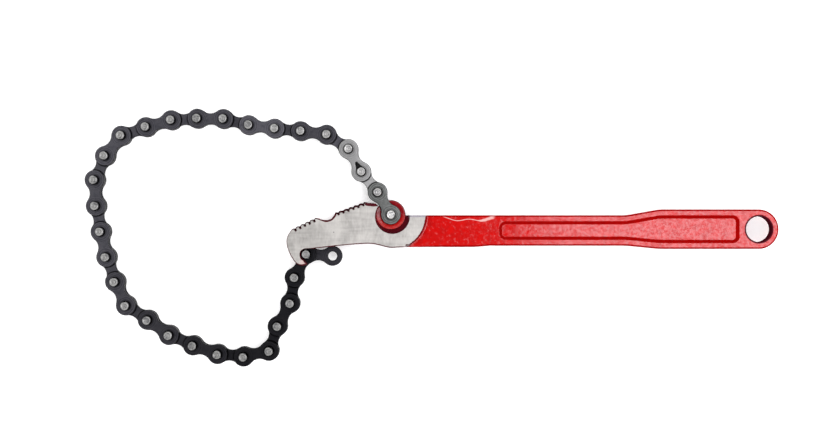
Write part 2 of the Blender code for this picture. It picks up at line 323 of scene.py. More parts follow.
def stored_value(mesh: bpy.types.Mesh, name: str, value: float) -> None:
    """Stores one value for the whole mesh, which a finish reads by its name."""
    layer = mesh.attributes.new(name, "FLOAT", "POINT")
    layer.data.foreach_set("value", [value] * len(mesh.vertices))


def dressed(mesh: bpy.types.Mesh, sharp: float) -> None:
    """Shades a mesh smooth, but for the edges that turn by more than an angle."""
    mesh.shade_smooth()
    mesh.set_sharp_from_angle(angle=sharp)


# Shader building

class Recipe:
    """A node tree that is being built, either a material's or a group's."""

    def __init__(self, tree: bpy.types.NodeTree) -> None:
        """Takes the tree that the nodes go into."""
        self.tree = tree

    def node(self, kind: str, **settings: object) -> bpy.types.Node:
        """Adds a node.

        Args:
            kind: its type without the ShaderNode in front.
            settings: its properties.

        Returns:
            The node.
        """
        made = self.tree.nodes.new("ShaderNode" + kind)
        for key, value in settings.items():
            setattr(made, key, value)
        return made

    def feed(self, socket: Socket, value: object) -> None:
        """Links an output to a socket, or sets the socket to a plain value.

        Args:
            socket: the input.
            value: the output or the plain value.
        """
        if isinstance(value, Socket):
            self.tree.links.new(value, socket)
        else:
            socket.default_value = value

    def fed(self, made: bpy.types.Node, **values: object) -> bpy.types.Node:
        """Feeds a node's inputs.

        Args:
            made: the node.
            values: what its inputs take, by name, with _ for a space.

        Returns:
            The node.
        """
        for name, value in values.items():
            self.feed(made.inputs[name.replace("_", " ")], value)
        return made

    def worked(self, made: bpy.types.Node, values: tuple) -> Socket:
        """Feeds a node's inputs in their order.

        Args:
            made: the node.
            values: what its first inputs take.

        Returns:
            The node's first output.
        """
        for socket, value in zip(made.inputs, values):
            self.feed(socket, value)
        return made.outputs[0]

    def maths(self, operation: str, *values: object, clamp: bool = False) -> Socket:
        """A Math node's result."""
        return self.worked(self.node("Math", operation=operation, use_clamp=clamp), values)

    def chained(self, operation: str, *values: object) -> Socket:
        """The result of one Math operation taken over several values in turn.

        Args:
            operation: the Math node's operation.
            values: two values or more.

        Returns:
            The last node's result.
        """
        result = values[0]
        for value in values[1:]:
            result = self.maths(operation, result, value)
        return result

    def times(self, *values: object) -> Socket:
        """The product of all values."""
        return self.chained("MULTIPLY", *values)

    def plus(self, *values: object) -> Socket:
        """The sum of all values."""
        return self.chained("ADD", *values)

    def most(self, *values: object) -> Socket:
        """The greatest of all values."""
        return self.chained("MAXIMUM", *values)

    def vector(self, operation: str, *values: object) -> Socket:
        """A Vector Math node's result, its number for LENGTH and DISTANCE.

        Args:
            operation: the node's operation.
            values: one vector or two.

        Returns:
            The result's socket.
        """
        made = self.node("VectorMath", operation=operation)
        self.worked(made, values)
        return made.outputs["Value" if operation in ("LENGTH", "DISTANCE") else "Vector"]

    def parts(self, vector: Socket) -> tuple[Socket, Socket, Socket]:
        """A vector's three numbers."""
        return tuple(self.fed(self.node("SeparateXYZ"), Vector=vector).outputs)

    def stored_mask(self, name: str) -> Socket:
        """The number that a mesh stores under a name."""
        return self.node("Attribute", attribute_name=name).outputs["Fac"]

    def ramp(self, value: object, low: object, high: object, out_low: object = 0.0,
             out_high: object = 1.0) -> Socket:
        """Maps a range of a value smoothly to another range.

        Args:
            value: the number or the output to map.
            low: where the range starts.
            high: where it ends.
            out_low: the result at the start and before it.
            out_high: the result at the end and past it.

        Returns:
            The result's socket.
        """
        made = self.node("MapRange", interpolation_type="SMOOTHSTEP")
        return self.worked(made, (value, low, high, out_low, out_high))

    def blend(self, share: object, first: object, second: object, mode: str = "MIX") -> Socket:
        """A colour mix.

        Args:
            share: how much of the second colour shows.
            first: the first colour.
            second: the second colour.
            mode: the way they are mixed.

        Returns:
            The mixed colour's socket.
        """
        made = self.node("Mix", data_type="RGBA", blend_type=mode)
        for number, value in ((0, share), (6, first), (7, second)):
            self.feed(made.inputs[number], value)
        return made.outputs[2]

    def layered(self, base: object, *layers: tuple[object, object]) -> Socket:
        """Lays colours over a base, one after another.

        Args:
            base: the lowest colour.
            layers: the mask and the colour of each layer above it.

        Returns:
            The colour's socket.
        """
        for mask, colour in layers:
            base = self.blend(mask, base, colour)
        return base

    def between(self, share: object, first: object, second: object) -> Socket:
        """A mix of two numbers.

        Args:
            share: how much of the second number counts.
            first: the first number.
            second: the second number.

        Returns:
            The mixed number's socket.
        """
        made = self.node("Mix", data_type="FLOAT")
        for number, value in ((0, share), (2, first), (3, second)):
            self.feed(made.inputs[number], value)
        return made.outputs[0]

    def noise(self, vector: object, scale: object, detail: float = 3.0,
              roughness: float = 0.55, distortion: float = 0.0) -> Socket:
        """A noise texture's value.

        Args:
            vector: the coordinates.
            scale: how many lumps lie on a metre.
            detail: how many finer layers it has.
            roughness: how strong they are.
            distortion: how far it is stirred.

        Returns:
            The value's socket.
        """
        made = self.node("TexNoise")
        return self.fed(made, Vector=vector, Scale=scale, Detail=detail, Roughness=roughness,
                        Distortion=distortion).outputs[0]

    def grouped(self, group: bpy.types.NodeTree, **values: object) -> Socket:
        """The first result of a node group, whose inputs are fed by name."""
        return self.fed(self.node("Group", node_tree=group), **values).outputs[0]

    def bumped(self, height: Socket, distance: float, strength: float) -> Socket:
        """A Bump node's normal."""
        return self.fed(self.node("Bump"), Strength=strength, Distance=distance, Height=height).outputs[0]


def new_group(name: str, inputs: dict[str, object],
              output: str) -> tuple[Recipe, dict[str, Socket], Socket]:
    """Starts a shader node group.

    Args:
        name: the group's name.
        inputs: each input's name and default, a number or "vector".
        output: the name of its result, a number.

    Returns:
        The recipe, the sockets that the inputs give, and the one that takes the result.
    """
    tree = bpy.data.node_groups.new(name, "ShaderNodeTree")
    for label, default in inputs.items():
        kind = "NodeSocketVector" if default == "vector" else "NodeSocketFloat"
        socket = tree.interface.new_socket(name=label, in_out="INPUT", socket_type=kind)
        if kind == "NodeSocketFloat":
            socket.default_value = default
    tree.interface.new_socket(name=output, in_out="OUTPUT", socket_type="NodeSocketFloat")
    given = tree.nodes.new("NodeGroupInput")
    taken = tree.nodes.new("NodeGroupOutput")
    return Recipe(tree), {label: given.outputs[label] for label in inputs}, taken.inputs[output]


def new_material(name: str) -> tuple[bpy.types.Material, bpy.types.Node, Recipe]:
    """Starts a material.

    Args:
        name: its name.

    Returns:
        The material, its shader and the recipe for its other nodes.
    """
    made = bpy.data.materials.new(name)
    made.use_nodes = True
    return made, made.node_tree.nodes["Principled BSDF"], Recipe(made.node_tree)


@dataclass
class Effects:
    """The node groups that more than one finish uses."""

    mottle: bpy.types.NodeTree = field(init=False)
    peel: bpy.types.NodeTree = field(init=False)

    def __post_init__(self) -> None:
        """Builds each group once."""
        self.mottle = self.build_mottle()
        self.peel = self.build_peel()

    @staticmethod
    def build_mottle() -> bpy.types.NodeTree:
        """Soft clouds with finer flecks in them, as a mask about one half.

        Returns:
            The group's tree.
        """
        inputs = {"Vector": "vector", "Scale": 100.0, "Contrast": 1.0}
        recipe, given, mask = new_group("mottle", inputs, "Mask")
        fine = recipe.times(given["Scale"], 7.0)
        clouds = recipe.noise(given["Vector"], given["Scale"], detail=4.0, roughness=0.5, distortion=0.6)
        flecks = recipe.noise(given["Vector"], fine, detail=2.0, roughness=0.5)
        both = recipe.plus(recipe.times(clouds, 0.7), recipe.times(flecks, 0.3))
        centred = recipe.times(recipe.maths("SUBTRACT", both, 0.5), given["Contrast"])
        recipe.feed(mask, recipe.maths("ADD", centred, 0.5, clamp=True))
        return recipe.tree

    @staticmethod
    def build_peel() -> bpy.types.NodeTree:
        """The height of a sprayed or forged skin: fine pebbles on broad dents.

        Returns:
            The group's tree.
        """
        inputs = {"Vector": "vector", "Pebble Scale": 900.0, "Pebble": 0.3, "Dent Scale": 130.0, "Dent": 1.0}
        recipe, given, height = new_group("peel", inputs, "Height")
        pebbles = recipe.noise(given["Vector"], given["Pebble Scale"], detail=1.5, roughness=0.5)
        dents = recipe.noise(given["Vector"], given["Dent Scale"], detail=2.0, roughness=0.5)
        recipe.feed(height, recipe.plus(
            recipe.times(pebbles, given["Pebble"]), recipe.times(dents, given["Dent"])))
        return recipe.tree


# The forging

@dataclass(frozen=True)
class ToothRow:
    """A straight row of jaw teeth. Its ends are in millimetres from the anchor rivet."""

    first: Place
    last: Place
    roots: int
    depth: float = 0.45 * MM
    cuts: tuple[Place, ...] = ((0.13, 0.0), (0.45, 1.0), (0.55, 1.0), (0.87, 0.0))

    def layout(self) -> tuple[Vector, Vector, Vector]:
        """Where the row lies.

        Returns:
            Its first tip, the way from tip to tip, and the way into the metal.
        """
        start = Vector(self.first) * MM
        along = (Vector(self.last) * MM - start) / self.roots
        return start, along, Vector((-along.y, along.x)).normalized()

    def outline(self) -> list[Vector]:
        """Teeth with short flat tips and narrow roots.

        Returns:
            The points, from the first tip to the last.
        """
        start, along, inward = self.layout()
        row = [start]
        for i in range(self.roots):
            row += [start + along * (i + share) + inward * self.depth * part for share, part in self.cuts]
        return [*row, Vector(self.last) * MM]

    def middles(self) -> list[tuple[Vector, Vector]]:
        """The middle of every notch on the line of the tips, with the way into the metal there."""
        start, along, inward = self.layout()
        return [(start + along * (i + 0.5), inward) for i in range(self.roots)]


@dataclass(frozen=True)
class RimZone:
    """A part of the rim with its own rounding, all in millimetres from the anchor rivet.

    From a start along one axis, and over a run from there, the rounding may grow by some more.
    """

    width: float
    left: float = -math.inf
    right: float = math.inf
    low: float = -math.inf
    high: float = math.inf
    more: float = 0.0
    axis: int = 0
    start: float = 0.0
    run: float = 1.0

    def holds(self, x: float, y: float) -> bool:
        """Whether a place lies in the zone."""
        return self.left < x < self.right and self.low < y < self.high

    def width_at(self, x: float, y: float) -> float:
        """How wide the rounding is at a place."""
        return self.width + self.more * min(1.0, max(0.0, ((x, y)[self.axis] - self.start) / self.run))


@dataclass
class ForgedBody:
    """The forging: handle, neck, ground head with teeth, fork and hook, two pockets and a lug.

    Sizes with MM and the slab's are in metres, the others in millimetres. Places count from the anchor
    rivet, and heights from the middle plane.
    """

    anchor: Vector
    blank_half: float = 9.1 * MM
    ground_half: float = 9.0 * MM
    handle_half: float = 4.75 * MM
    ground_radius: float = 21.0 * MM
    slab: Span = (0.6, 0.2)
    slab_middle: Place = (0.1, 0.003)
    step_lean: float = math.radians(80)
    step_foot: float = 1.0 * MM
    step_band: Span = (6.8 * MM, 26.4 * MM)
    fine_cut: float = 0.4 * MM
    coarse_cut: float = 4.0 * MM
    cross_cuts: tuple[float, float, int] = (-2.6, -0.42, 37)
    neck_end: float = 62.0 * MM
    lug_half: float = 1.85 * MM
    lug_hole_radius: float = 2.75 * MM
    lug_drill: float = 4.0 * MM
    boss_radius: float = 8.9 * MM
    boss_profile: tuple[Place, ...] = (
        (2.0, 0.0), (8.0, 0.0), (8.3, 0.06), (8.6, 0.25), (8.8, 0.6), (8.95, 1.1), (12.0, 1.1))
    boss_sweep: Span = (math.radians(5), math.radians(142))
    boss_overlap: float = 0.01 * MM
    boss_top: float = 10.0 * MM
    pocket_radius: float = 10.53 * MM
    pocket_shift: Place = (1.06, -1.08)
    pocket_lip: tuple[Place, ...] = ((-0.25, -0.5), (0.05, 0.05), (0.7, 1.0))
    dish: tuple[float, float, float] = (5.9 * MM, 8.75 * MM, 0.42 * MM)
    dish_steps: int = 6
    top_edge: float = -0.35
    top_cuts: tuple[float, ...] = (100.0, 66.0, 40.0, 24.0, 16.0, 11.0)
    shoulder: Place = (-9.3, 6.8)
    toe: Place = (-13.7, 7.2)
    toe_turn: float = math.radians(6)
    rear_row: ToothRow = ToothRow((-15.6, 7.8), (-33.5, 1.3), 6)
    front_row: ToothRow = ToothRow((-45.3, -1.8), (-59.5, -8.6), 5)
    saddle: tuple[Place, ...] = ((-34.1, -0.2), (-36.0, -2.4), (-39.1, -3.3), (-42.8, -2.7))
    nose: tuple[Place, ...] = (
        (-59.5, -8.6), (-61.0, -10.6), (-62.3, -12.8), (-62.9, -15.1), (-62.8, -18.2),
        (-61.9, -21.3), (-60.1, -25.4), (-57.6, -29.0), (-55.7, -30.3), (-53.6, -30.8),
        (-50.4, -30.1), (-50.95, -29.05), (-51.55, -28.15), (-52.43, -27.1))
    hook_centre: Place = (-51.3, -24.0)
    hook_radius: float = 3.3 * MM
    hook_sweep: Span = (math.radians(-110), math.radians(-270))
    underside: tuple[Place, ...] = (
        (-42.8, -20.1), (-32.3, -18.95), (-19.9, -17.85), (-12.5, -17.6), (-8.8, -18.1),
        (-5.1, -19.0), (-1.9, -19.8), (1.1, -20.05), (8.0, -19.75), (30.0, -19.62), (48.0, -19.6),
        (54.0, -19.35), (60.0, -18.87), (66.0, -18.85), (100.0, -18.85))
    gash_depth: float = 2.6 * MM
    gash_half: float = 1.3 * MM
    gash_drop: float = 3.4 * MM
    gash_foot: float = 0.7 * MM
    gash_over: Span = (1.5 * MM, 0.4 * MM)
    gash_narrow: float = 0.6
    gash_root: float = 0.45
    root_shade_reach: float = 2.3 * MM
    gap_half: float = 4.45 * MM
    gap_shelf: float = -16.75 * MM
    gap_back: float = -43.0 * MM
    gap_tail: float = -28.2 * MM
    gap_corner: float = 1.6 * MM
    gap_clear: tuple[float, float, float] = (-75.0 * MM, -40.0 * MM, 12.0 * MM)
    handle_axis: float = -9.6
    handle_width: float = 18.5
    end_axis: float = -8.8
    end_width: float = 24.0
    flare: Span = (141.0, 165.0)
    flare_steps: int = 12
    reach: float = 235.4
    hole_radius: float = 7.8 * MM
    hole_round: float = 0.4 * MM
    hole_sweep: float = math.radians(82)
    hole_steps: int = 6
    hole_flare: float = 1.0 * MM
    hole_rise: float = 0.9 * MM
    hole_drill: float = 8.0 * MM
    panel_span: Span = (65.4, 211.8)
    panel_rim: float = 3.3
    panel_corner: float = 4.2 * MM
    panel_steps: tuple[Place, ...] = (
        (0.14, 0.01), (0.14, 0.035), (0.14, 0.07), (0.85, 0.52), (0.85, 0.52), (0.10, 0.06), (0.12, 0.03),
        (0.15, 0.01))
    widest_edge: float = 2.4 * MM
    edge_profile: float = 0.36
    rim_zones: tuple[RimZone, ...] = (
        RimZone(0.0, left=8.0, right=11.5, low=-10.0), RimZone(0.7, left=8.0, right=24.0, high=-10.0),
        RimZone(1.0, left=8.0), RimZone(0.0, left=-7.6, low=-5.0), RimZone(2.3, left=-15.7, low=5.5),
        RimZone(0.9, left=-44.0, high=-16.0),
        RimZone(0.85, left=-56.0, high=-25.5, more=0.4, start=-56.0, run=4.5),
        RimZone(0.55, high=-12.0, more=0.3, axis=1, start=-20.0, run=-6.0), RimZone(0.55, right=-59.6),
        RimZone(0.8, right=-44.0), RimZone(1.5))
    close_points: float = 1e-6
    loose_ends: float = 0.004 * MM
    sliver: float = 0.0003 * MM
    level_slack: float = 0.002 * MM
    level_tilt: float = 0.99995

    @staticmethod
    def points(pairs: tuple[Place, ...]) -> list[Vector]:
        """Points from pairs of millimetres."""
        return [Vector(pair) * MM for pair in pairs]

    def tooth_roots(self) -> list[tuple[Vector, Vector]]:
        """The middle of every notch of both rows, with the way into the metal there."""
        return self.rear_row.middles() + self.front_row.middles()

    def end_centre(self) -> Vector:
        """The middle of the handle's round end, where the hanging hole is."""
        return Vector((self.reach - self.end_width / 2, self.end_axis)) * MM

    def handle_edge(self, side: int, inset: float = 0.0) -> list[Vector]:
        """One long edge of the handle, from the neck to the wide end.

        Args:
            side: +1 for the upper edge in the picture, -1 for the lower.
            inset: how far inside the handle the line runs, in millimetres.

        Returns:
            The points of the flare and its two ends.
        """
        narrow = self.handle_axis + side * (self.handle_width / 2 - inset)
        wide = self.end_axis + side * (self.end_width / 2 - inset)
        start, end = self.flare
        run = []
        for i in range(self.flare_steps + 1):
            share = i / self.flare_steps
            ease = self.soft_slope(share)
            run.append(Vector((start + (end - start) * share, narrow + (wide - narrow) * ease)) * MM)
        return run

    @staticmethod
    def soft_slope(share: float, bend: float = 0.16) -> float:
        """How far a straight slope with a short bend at each end has risen.

        Args:
            share: how far along the slope the place is, from 0 to 1.
            bend: the share of the slope that each bend takes.

        Returns:
            The share of its rise, from 0 to 1.
        """
        if share > 0.5:
            return 1.0 - ForgedBody.soft_slope(1.0 - share, bend)
        if share < bend:
            return share * share / (2 * bend * (1 - bend))
        return (share - bend / 2) / (1 - bend)

    def outline(self) -> list[Vector]:
        """The forging's outline.

        Returns:
            The points, counter-clockwise from the boss round the anchor rivet.
        """
        shoulder, toe, hook = self.points((self.shoulder, self.toe, self.hook_centre))
        start = math.asin(self.top_edge * MM / self.boss_radius)
        end = math.atan2(toe.y, toe.x) - self.toe_turn
        run = arc(Vector((0.0, 0.0)), self.boss_radius, start, end, steps=36)
        run += [shoulder, toe]
        run += self.rear_row.outline()
        run += smooth_run(self.points(self.saddle), step=1.2 * MM)
        run += self.front_row.outline()[:-1]
        run += smooth_run(self.points(self.nose), step=0.9 * MM)
        run += arc(hook, self.hook_radius, *self.hook_sweep, steps=28)[1:]
        run += smooth_run(self.points(self.underside), step=1.6 * MM)
        run += self.handle_edge(-1)
        run += arc(self.end_centre(), self.end_width / 2 * MM, -math.pi / 2, math.pi / 2, steps=48)[1:-1]
        run += reversed(self.handle_edge(1))
        return run + self.points([(x, self.top_edge) for x in self.top_cuts])

    def half_thickness(self, x: float, y: float) -> float:
        """Half the forging's thickness before it is ground.

        Args:
            x: the place along the tool, in metres from the anchor rivet.
            y: the place across it.

        Returns:
            The half thickness.
        """
        over = math.hypot(x, y) - self.ground_radius
        if x < 0 or over < 0:
            return self.blank_half
        arc_run = self.step_foot * math.sin(self.step_lean)
        arc_rise = self.step_foot * (1 - math.cos(self.step_lean))
        wall_run = (self.ground_half - self.handle_half - arc_rise) / math.tan(self.step_lean)
        if over < wall_run:
            return self.ground_half - over * math.tan(self.step_lean)
        left = max(0.0, wall_run + arc_run - over)
        return self.handle_half + self.step_foot - math.sqrt(self.step_foot ** 2 - left ** 2)

    def edge_width(self, x: float, y: float) -> float:
        """How wide the painted rounding of the rim is at a place, by the first zone that holds it."""
        zone = next(zone for zone in self.rim_zones if zone.holds(x / MM, y / MM))
        return zone.width_at(x / MM, y / MM) * MM

    def sliced(self) -> bmesh.types.BMesh:
        """The forging's outline as a plain prism, cut fine about the step of the neck.

        Returns:
            The bmesh.
        """
        work = prism(self.outline(), -self.blank_half, self.blank_half)
        start, end = self.step_band
        fine, coarse = self.fine_cut, self.coarse_cut
        cuts = [start + fine * i for i in range(round((end - start) / fine) + 1)]
        cuts += [end + coarse * i for i in range(1, round((self.neck_end - end) / coarse) + 1)]
        for cut in cuts:
            bmesh.ops.bisect_plane(
                work, geom=[*work.verts, *work.edges, *work.faces], dist=NO_GAP,
                plane_co=(cut, 0, 0), plane_no=(1, 0, 0))
        first, step, count = self.cross_cuts
        for i in range(count):
            near = [
                f for f in work.faces
                if abs(f.normal.z) > 0.9 and start < f.calc_center_median().x < end]
            near += once(e for f in near for e in f.edges) + once(v for f in near for v in f.verts)
            bmesh.ops.bisect_plane(
                work, geom=near, dist=NO_GAP, plane_co=(0, (first + step * i) * MM, 0), plane_no=(0, 1, 0))
        return work

    def blank(self) -> bpy.types.Mesh:
        """The forging as it leaves the die and the grinder, before anything is cut in it.

        Returns:
            Its mesh.
        """
        work = self.sliced()
        weight = work.edges.layers.float.new("bevel_weight_edge")
        for edge in rim_edges(work):
            middle = (edge.verts[0].co + edge.verts[1].co) / 2
            edge[weight] = self.edge_width(middle.x, middle.y) / self.widest_edge
        rough = put("forging_blank", work)
        rounding = rough.modifiers.new("rounding", "BEVEL")
        rounding.limit_method = "WEIGHT"
        rounding.width = self.widest_edge
        rounding.segments = 4
        rounding.profile = self.edge_profile
        rounding.use_clamp_overlap = False
        mesh = finished_mesh(rough)
        removed(rough)
        with opened(mesh) as work:
            for vert in work.verts:
                loss = self.blank_half - self.half_thickness(vert.co.x, vert.co.y)
                vert.co.z -= math.copysign(loss, vert.co.z)
            bmesh.ops.triangulate(work, faces=work.faces)
            bmesh.ops.remove_doubles(work, verts=work.verts, dist=self.close_points)
        return mesh

    def grinder(self) -> bpy.types.Object:
        """A slab about the whole forging, which leaves it ground flat on both faces.

        Returns:
            The slab.
        """
        work = bmesh.new()
        bmesh.ops.create_cube(work, size=1.0)
        bmesh.ops.scale(work, verts=work.verts, vec=(*self.slab, 2 * self.ground_half))
        bmesh.ops.subdivide_edges(work, edges=work.edges, cuts=1, use_grid_fill=True)
        bmesh.ops.translate(work, verts=work.verts, vec=(*self.slab_middle, 0))
        return put("grinder", work)

    def pocket_cutter(self, side: Side) -> bpy.types.Object:
        """The round pocket on one face, with a leaning wall and a small fillet at its floor.

        Args:
            side: the face.

        Returns:
            The cutter.
        """
        start, foot, rise = self.dish
        steps = self.dish_steps
        dish = [
            (start + (foot - start) * i / steps, self.lug_half + rise * (i / steps) ** 2)
            for i in range(steps + 1)]
        lip = [(self.pocket_radius + out * MM, self.ground_half + up * MM) for out, up in self.pocket_lip]
        profile = [(0.0, self.lug_half), *dish, *lip, (0.0, lip[-1][1])]
        work = turned([(r, side.value * z) for r, z in profile], sides=96, centre=Vector((0, 0)))
        shift = Vector((*self.pocket_shift, 0.0)) * MM
        for vert in work.verts:
            share = (vert.co.xy.length - foot) / (self.pocket_radius - foot)
            vert.co += shift * min(1.0, max(0.0, share))
        return put("pocket_" + side.name.lower(), work)

    def boss_cutter(self, side: Side) -> bpy.types.Object:
        """The open side of the pocket, where the boss is as thin as the lug and has a round edge.

        Args:
            side: the face.

        Returns:
            The cutter.
        """
        floor = self.lug_half - self.boss_overlap
        profile = [(r * MM, floor - depth * MM) for r, depth in self.boss_profile]
        profile += [(profile[-1][0], self.boss_top), (profile[0][0], self.boss_top)]
        start, sweep = self.boss_sweep
        work = bmesh.new()
        face = work.faces.new([work.verts.new((r, 0.0, side.value * z)) for r, z in profile])
        bmesh.ops.rotate(work, verts=work.verts, cent=(0, 0, 0), matrix=Matrix.Rotation(start, 3, "Z"))
        bmesh.ops.spin(
            work, geom=[face, *face.edges, *face.verts], cent=(0, 0, 0), axis=(0, 0, 1), angle=sweep,
            steps=48, use_duplicate=False, use_merge=False)
        bmesh.ops.recalc_face_normals(work, faces=work.faces)
        return put("boss_" + side.name.lower(), work)

    def panel_outline(self) -> list[Vector]:
        """The panel's outline, a rim's width inside the handle's edge.

        Returns:
            The points, counter-clockwise.
        """
        lower = self.handle_edge(-1, self.panel_rim)
        upper = self.handle_edge(1, self.panel_rim)
        left, right = (x * MM for x in self.panel_span)
        corner, quarter = self.panel_corner, math.pi / 2
        centres = (
            (left + corner, lower[0].y + corner), (right - corner, lower[-1].y + corner),
            (right - corner, upper[-1].y - corner), (left + corner, upper[0].y - corner))
        turns = [
            arc(Vector(centre), corner, start, start + quarter, steps=8)
            for centre, start in zip(centres, (math.pi, -quarter, 0.0, quarter))]
        return [*turns[0], *lower, *turns[1], *turns[2], *reversed(upper), *turns[3]]

    def panel_cutter(self, side: Side) -> bpy.types.Object:
        """The sunken panel on one face: a soft upper edge, leaning walls and a fillet at the floor.

        Args:
            side: the face.

        Returns:
            The cutter.
        """
        work = prism(self.panel_outline(), -self.handle_half, self.handle_half)
        floor = min(work.faces, key=lambda f: f.calc_center_median().z)
        for inset, depth in self.panel_steps:
            bmesh.ops.inset_region(
                work, faces=[floor], thickness=inset * MM, depth=depth * MM, use_even_offset=True)
        bmesh.ops.translate(work, verts=work.verts, vec=(0, 0, 2 * self.handle_half))
        bmesh.ops.remove_doubles(work, verts=work.verts, dist=NO_GAP)
        if side is Side.LOWER:
            bmesh.ops.scale(work, verts=work.verts, vec=(1, 1, -1))
        bmesh.ops.recalc_face_normals(work, faces=work.faces)
        return put("panel_" + side.name.lower(), work)

    def hanging_hole_cutter(self) -> bpy.types.Object:
        """The hanging hole, with both rims rounded over.

        Returns:
            The cutter.
        """
        radius, round_off = self.hole_radius, self.hole_round
        upper = [
            (radius + round_off * (1 - math.cos(a)), self.handle_half - round_off * (1 - math.sin(a)))
            for a in (self.hole_sweep * i / self.hole_steps for i in range(self.hole_steps + 1))]
        flare = radius + round_off + self.hole_flare
        upper += [(flare, self.handle_half + self.hole_rise), (flare, self.hole_drill)]
        upper.append((0.0, self.hole_drill))
        profile = [(r, -z) for r, z in reversed(upper)] + upper
        return put("hanging_hole", turned(profile, sides=72, centre=self.end_centre()))

    def lug_hole_cutter(self) -> bpy.types.Object:
        """The hole for the anchor rivet.

        Returns:
            The cutter.
        """
        radius, drill = self.lug_hole_radius, self.lug_drill
        profile = [(0.0, -drill), (radius, -drill), (radius, drill), (0.0, drill)]
        return put("lug_hole", turned(profile, sides=48, centre=Vector((0, 0))))

    def slot_cutter(self) -> bpy.types.Object:
        """The gap between the two cheeks, open at the nose, the front teeth and the hook.

        Returns:
            The cutter.
        """
        left, bottom, top = self.gap_clear
        soft, quarter = self.gap_corner, math.pi / 2
        run = [Vector((left, top)), Vector((left, bottom)), Vector((self.gap_tail, bottom))]
        run += arc(Vector((self.gap_tail - soft, self.gap_shelf - soft)), soft, 0.0, quarter, steps=6)
        run += arc(Vector((self.gap_back + soft, self.gap_shelf + soft)), soft, -quarter, -math.pi, steps=6)
        run.append(Vector((self.gap_back, top)))
        return put("cheek_gap", prism(run, -self.gap_half, self.gap_half))

    def gash_cutter(self) -> bpy.types.Object:
        """The notches between the teeth, deep at the ground face and running out below it.

        Returns:
            The cutter.
        """
        work = bmesh.new()
        out, over = self.gash_over
        ends = (
            (self.ground_half + over, self.gash_depth, self.gash_half),
            (self.ground_half - self.gash_drop, self.gash_foot, self.gash_narrow * self.gash_half))
        for middle, inward in self.tooth_roots():
            along = Vector((inward.y, -inward.x))
            for side in Side:
                corners = []
                for level, depth, half in ends:
                    root = self.gash_root * half
                    for step, reach in ((-half, -out), (half, -out), (-root, depth), (root, depth)):
                        place = middle + along * step + inward * reach
                        corners.append(work.verts.new((place.x, place.y, side.value * level)))
                bmesh.ops.convex_hull(work, input=corners)
        bmesh.ops.recalc_face_normals(work, faces=work.faces)
        return put("gashes", work)

    def build(self, finish: bpy.types.Material) -> bpy.types.Object:
        """Makes the forging in its place and dresses it.

        Args:
            finish: its material.

        Returns:
            The finished piece.
        """
        body = placed("forged_body", self.blank())
        grinder = self.grinder()
        cutters = [self.slot_cutter(), self.gash_cutter(), self.lug_hole_cutter(), self.hanging_hole_cutter()]
        for side in Side:
            cutters += [self.pocket_cutter(side), self.boss_cutter(side), self.panel_cutter(side)]
        for tool in (grinder, *cutters):
            cut = body.modifiers.new(tool.name, "BOOLEAN")
            cut.object = tool
            cut.operation = "INTERSECT" if tool is grinder else "DIFFERENCE"
            cut.solver = "EXACT"
            cut.use_self = tool is grinder
        mesh = finished_mesh(body)
        body.modifiers.clear()
        removed(grinder, *cutters)
        self.clean(mesh)
        dressed(mesh, sharp=math.radians(26))
        self.crisp_ground_rim(mesh)
        self.shade_roots(mesh)
        mesh.transform(Matrix.Translation(self.anchor))
        body.data = mesh
        mesh.materials.append(finish)
        even = body.modifiers.new("even_shading", "WEIGHTED_NORMAL")
        even.keep_sharp = True
        even.weight = 70
        return body

    def clean(self, mesh: bpy.types.Mesh) -> None:
        """Takes loose ends and slivers out of the forging's mesh.

        Args:
            mesh: the mesh.
        """
        with opened(mesh) as work:
            in_order(work)
            bmesh.ops.remove_doubles(work, verts=work.verts, dist=self.loose_ends)
            bmesh.ops.dissolve_degenerate(work, edges=work.edges, dist=self.loose_ends)
            slivers = [f for f in work.faces if f.calc_area() < self.sliver * f.calc_perimeter()]
            longest = once(max(f.edges, key=bmesh.types.BMEdge.calc_length) for f in slivers)
            bmesh.ops.dissolve_edges(work, edges=longest, use_verts=False)
            bmesh.ops.recalc_face_normals(work, faces=work.faces)

    def shade_roots(self, mesh: bpy.types.Mesh) -> None:
        """Stores how much painted shade each point near a tooth root gets.

        Args:
            mesh: the forging's mesh.
        """
        roots = self.tooth_roots()
        layer = mesh.attributes.new("root_shade", "FLOAT", "POINT")
        for vert, value in zip(mesh.vertices, layer.data):
            near = min((vert.co.xy - middle - inward * self.gash_foot).length for middle, inward in roots)
            value.value = max(0.0, 1.0 - near / self.root_shade_reach)

    def crisp_ground_rim(self, mesh: bpy.types.Mesh) -> None:
        """Marks the line where the ground face meets the paint as a sharp edge.

        Args:
            mesh: the forging's mesh.
        """
        level = self.ground_half - self.level_slack
        with opened(mesh) as work:
            for edge in work.edges:
                on_top = all(abs(v.co.z) > level for v in edge.verts)
                flats = [abs(f.normal.z) > self.level_tilt for f in edge.link_faces]
                if on_top and any(flats) and not all(flats):
                    edge.smooth = False


# The chain

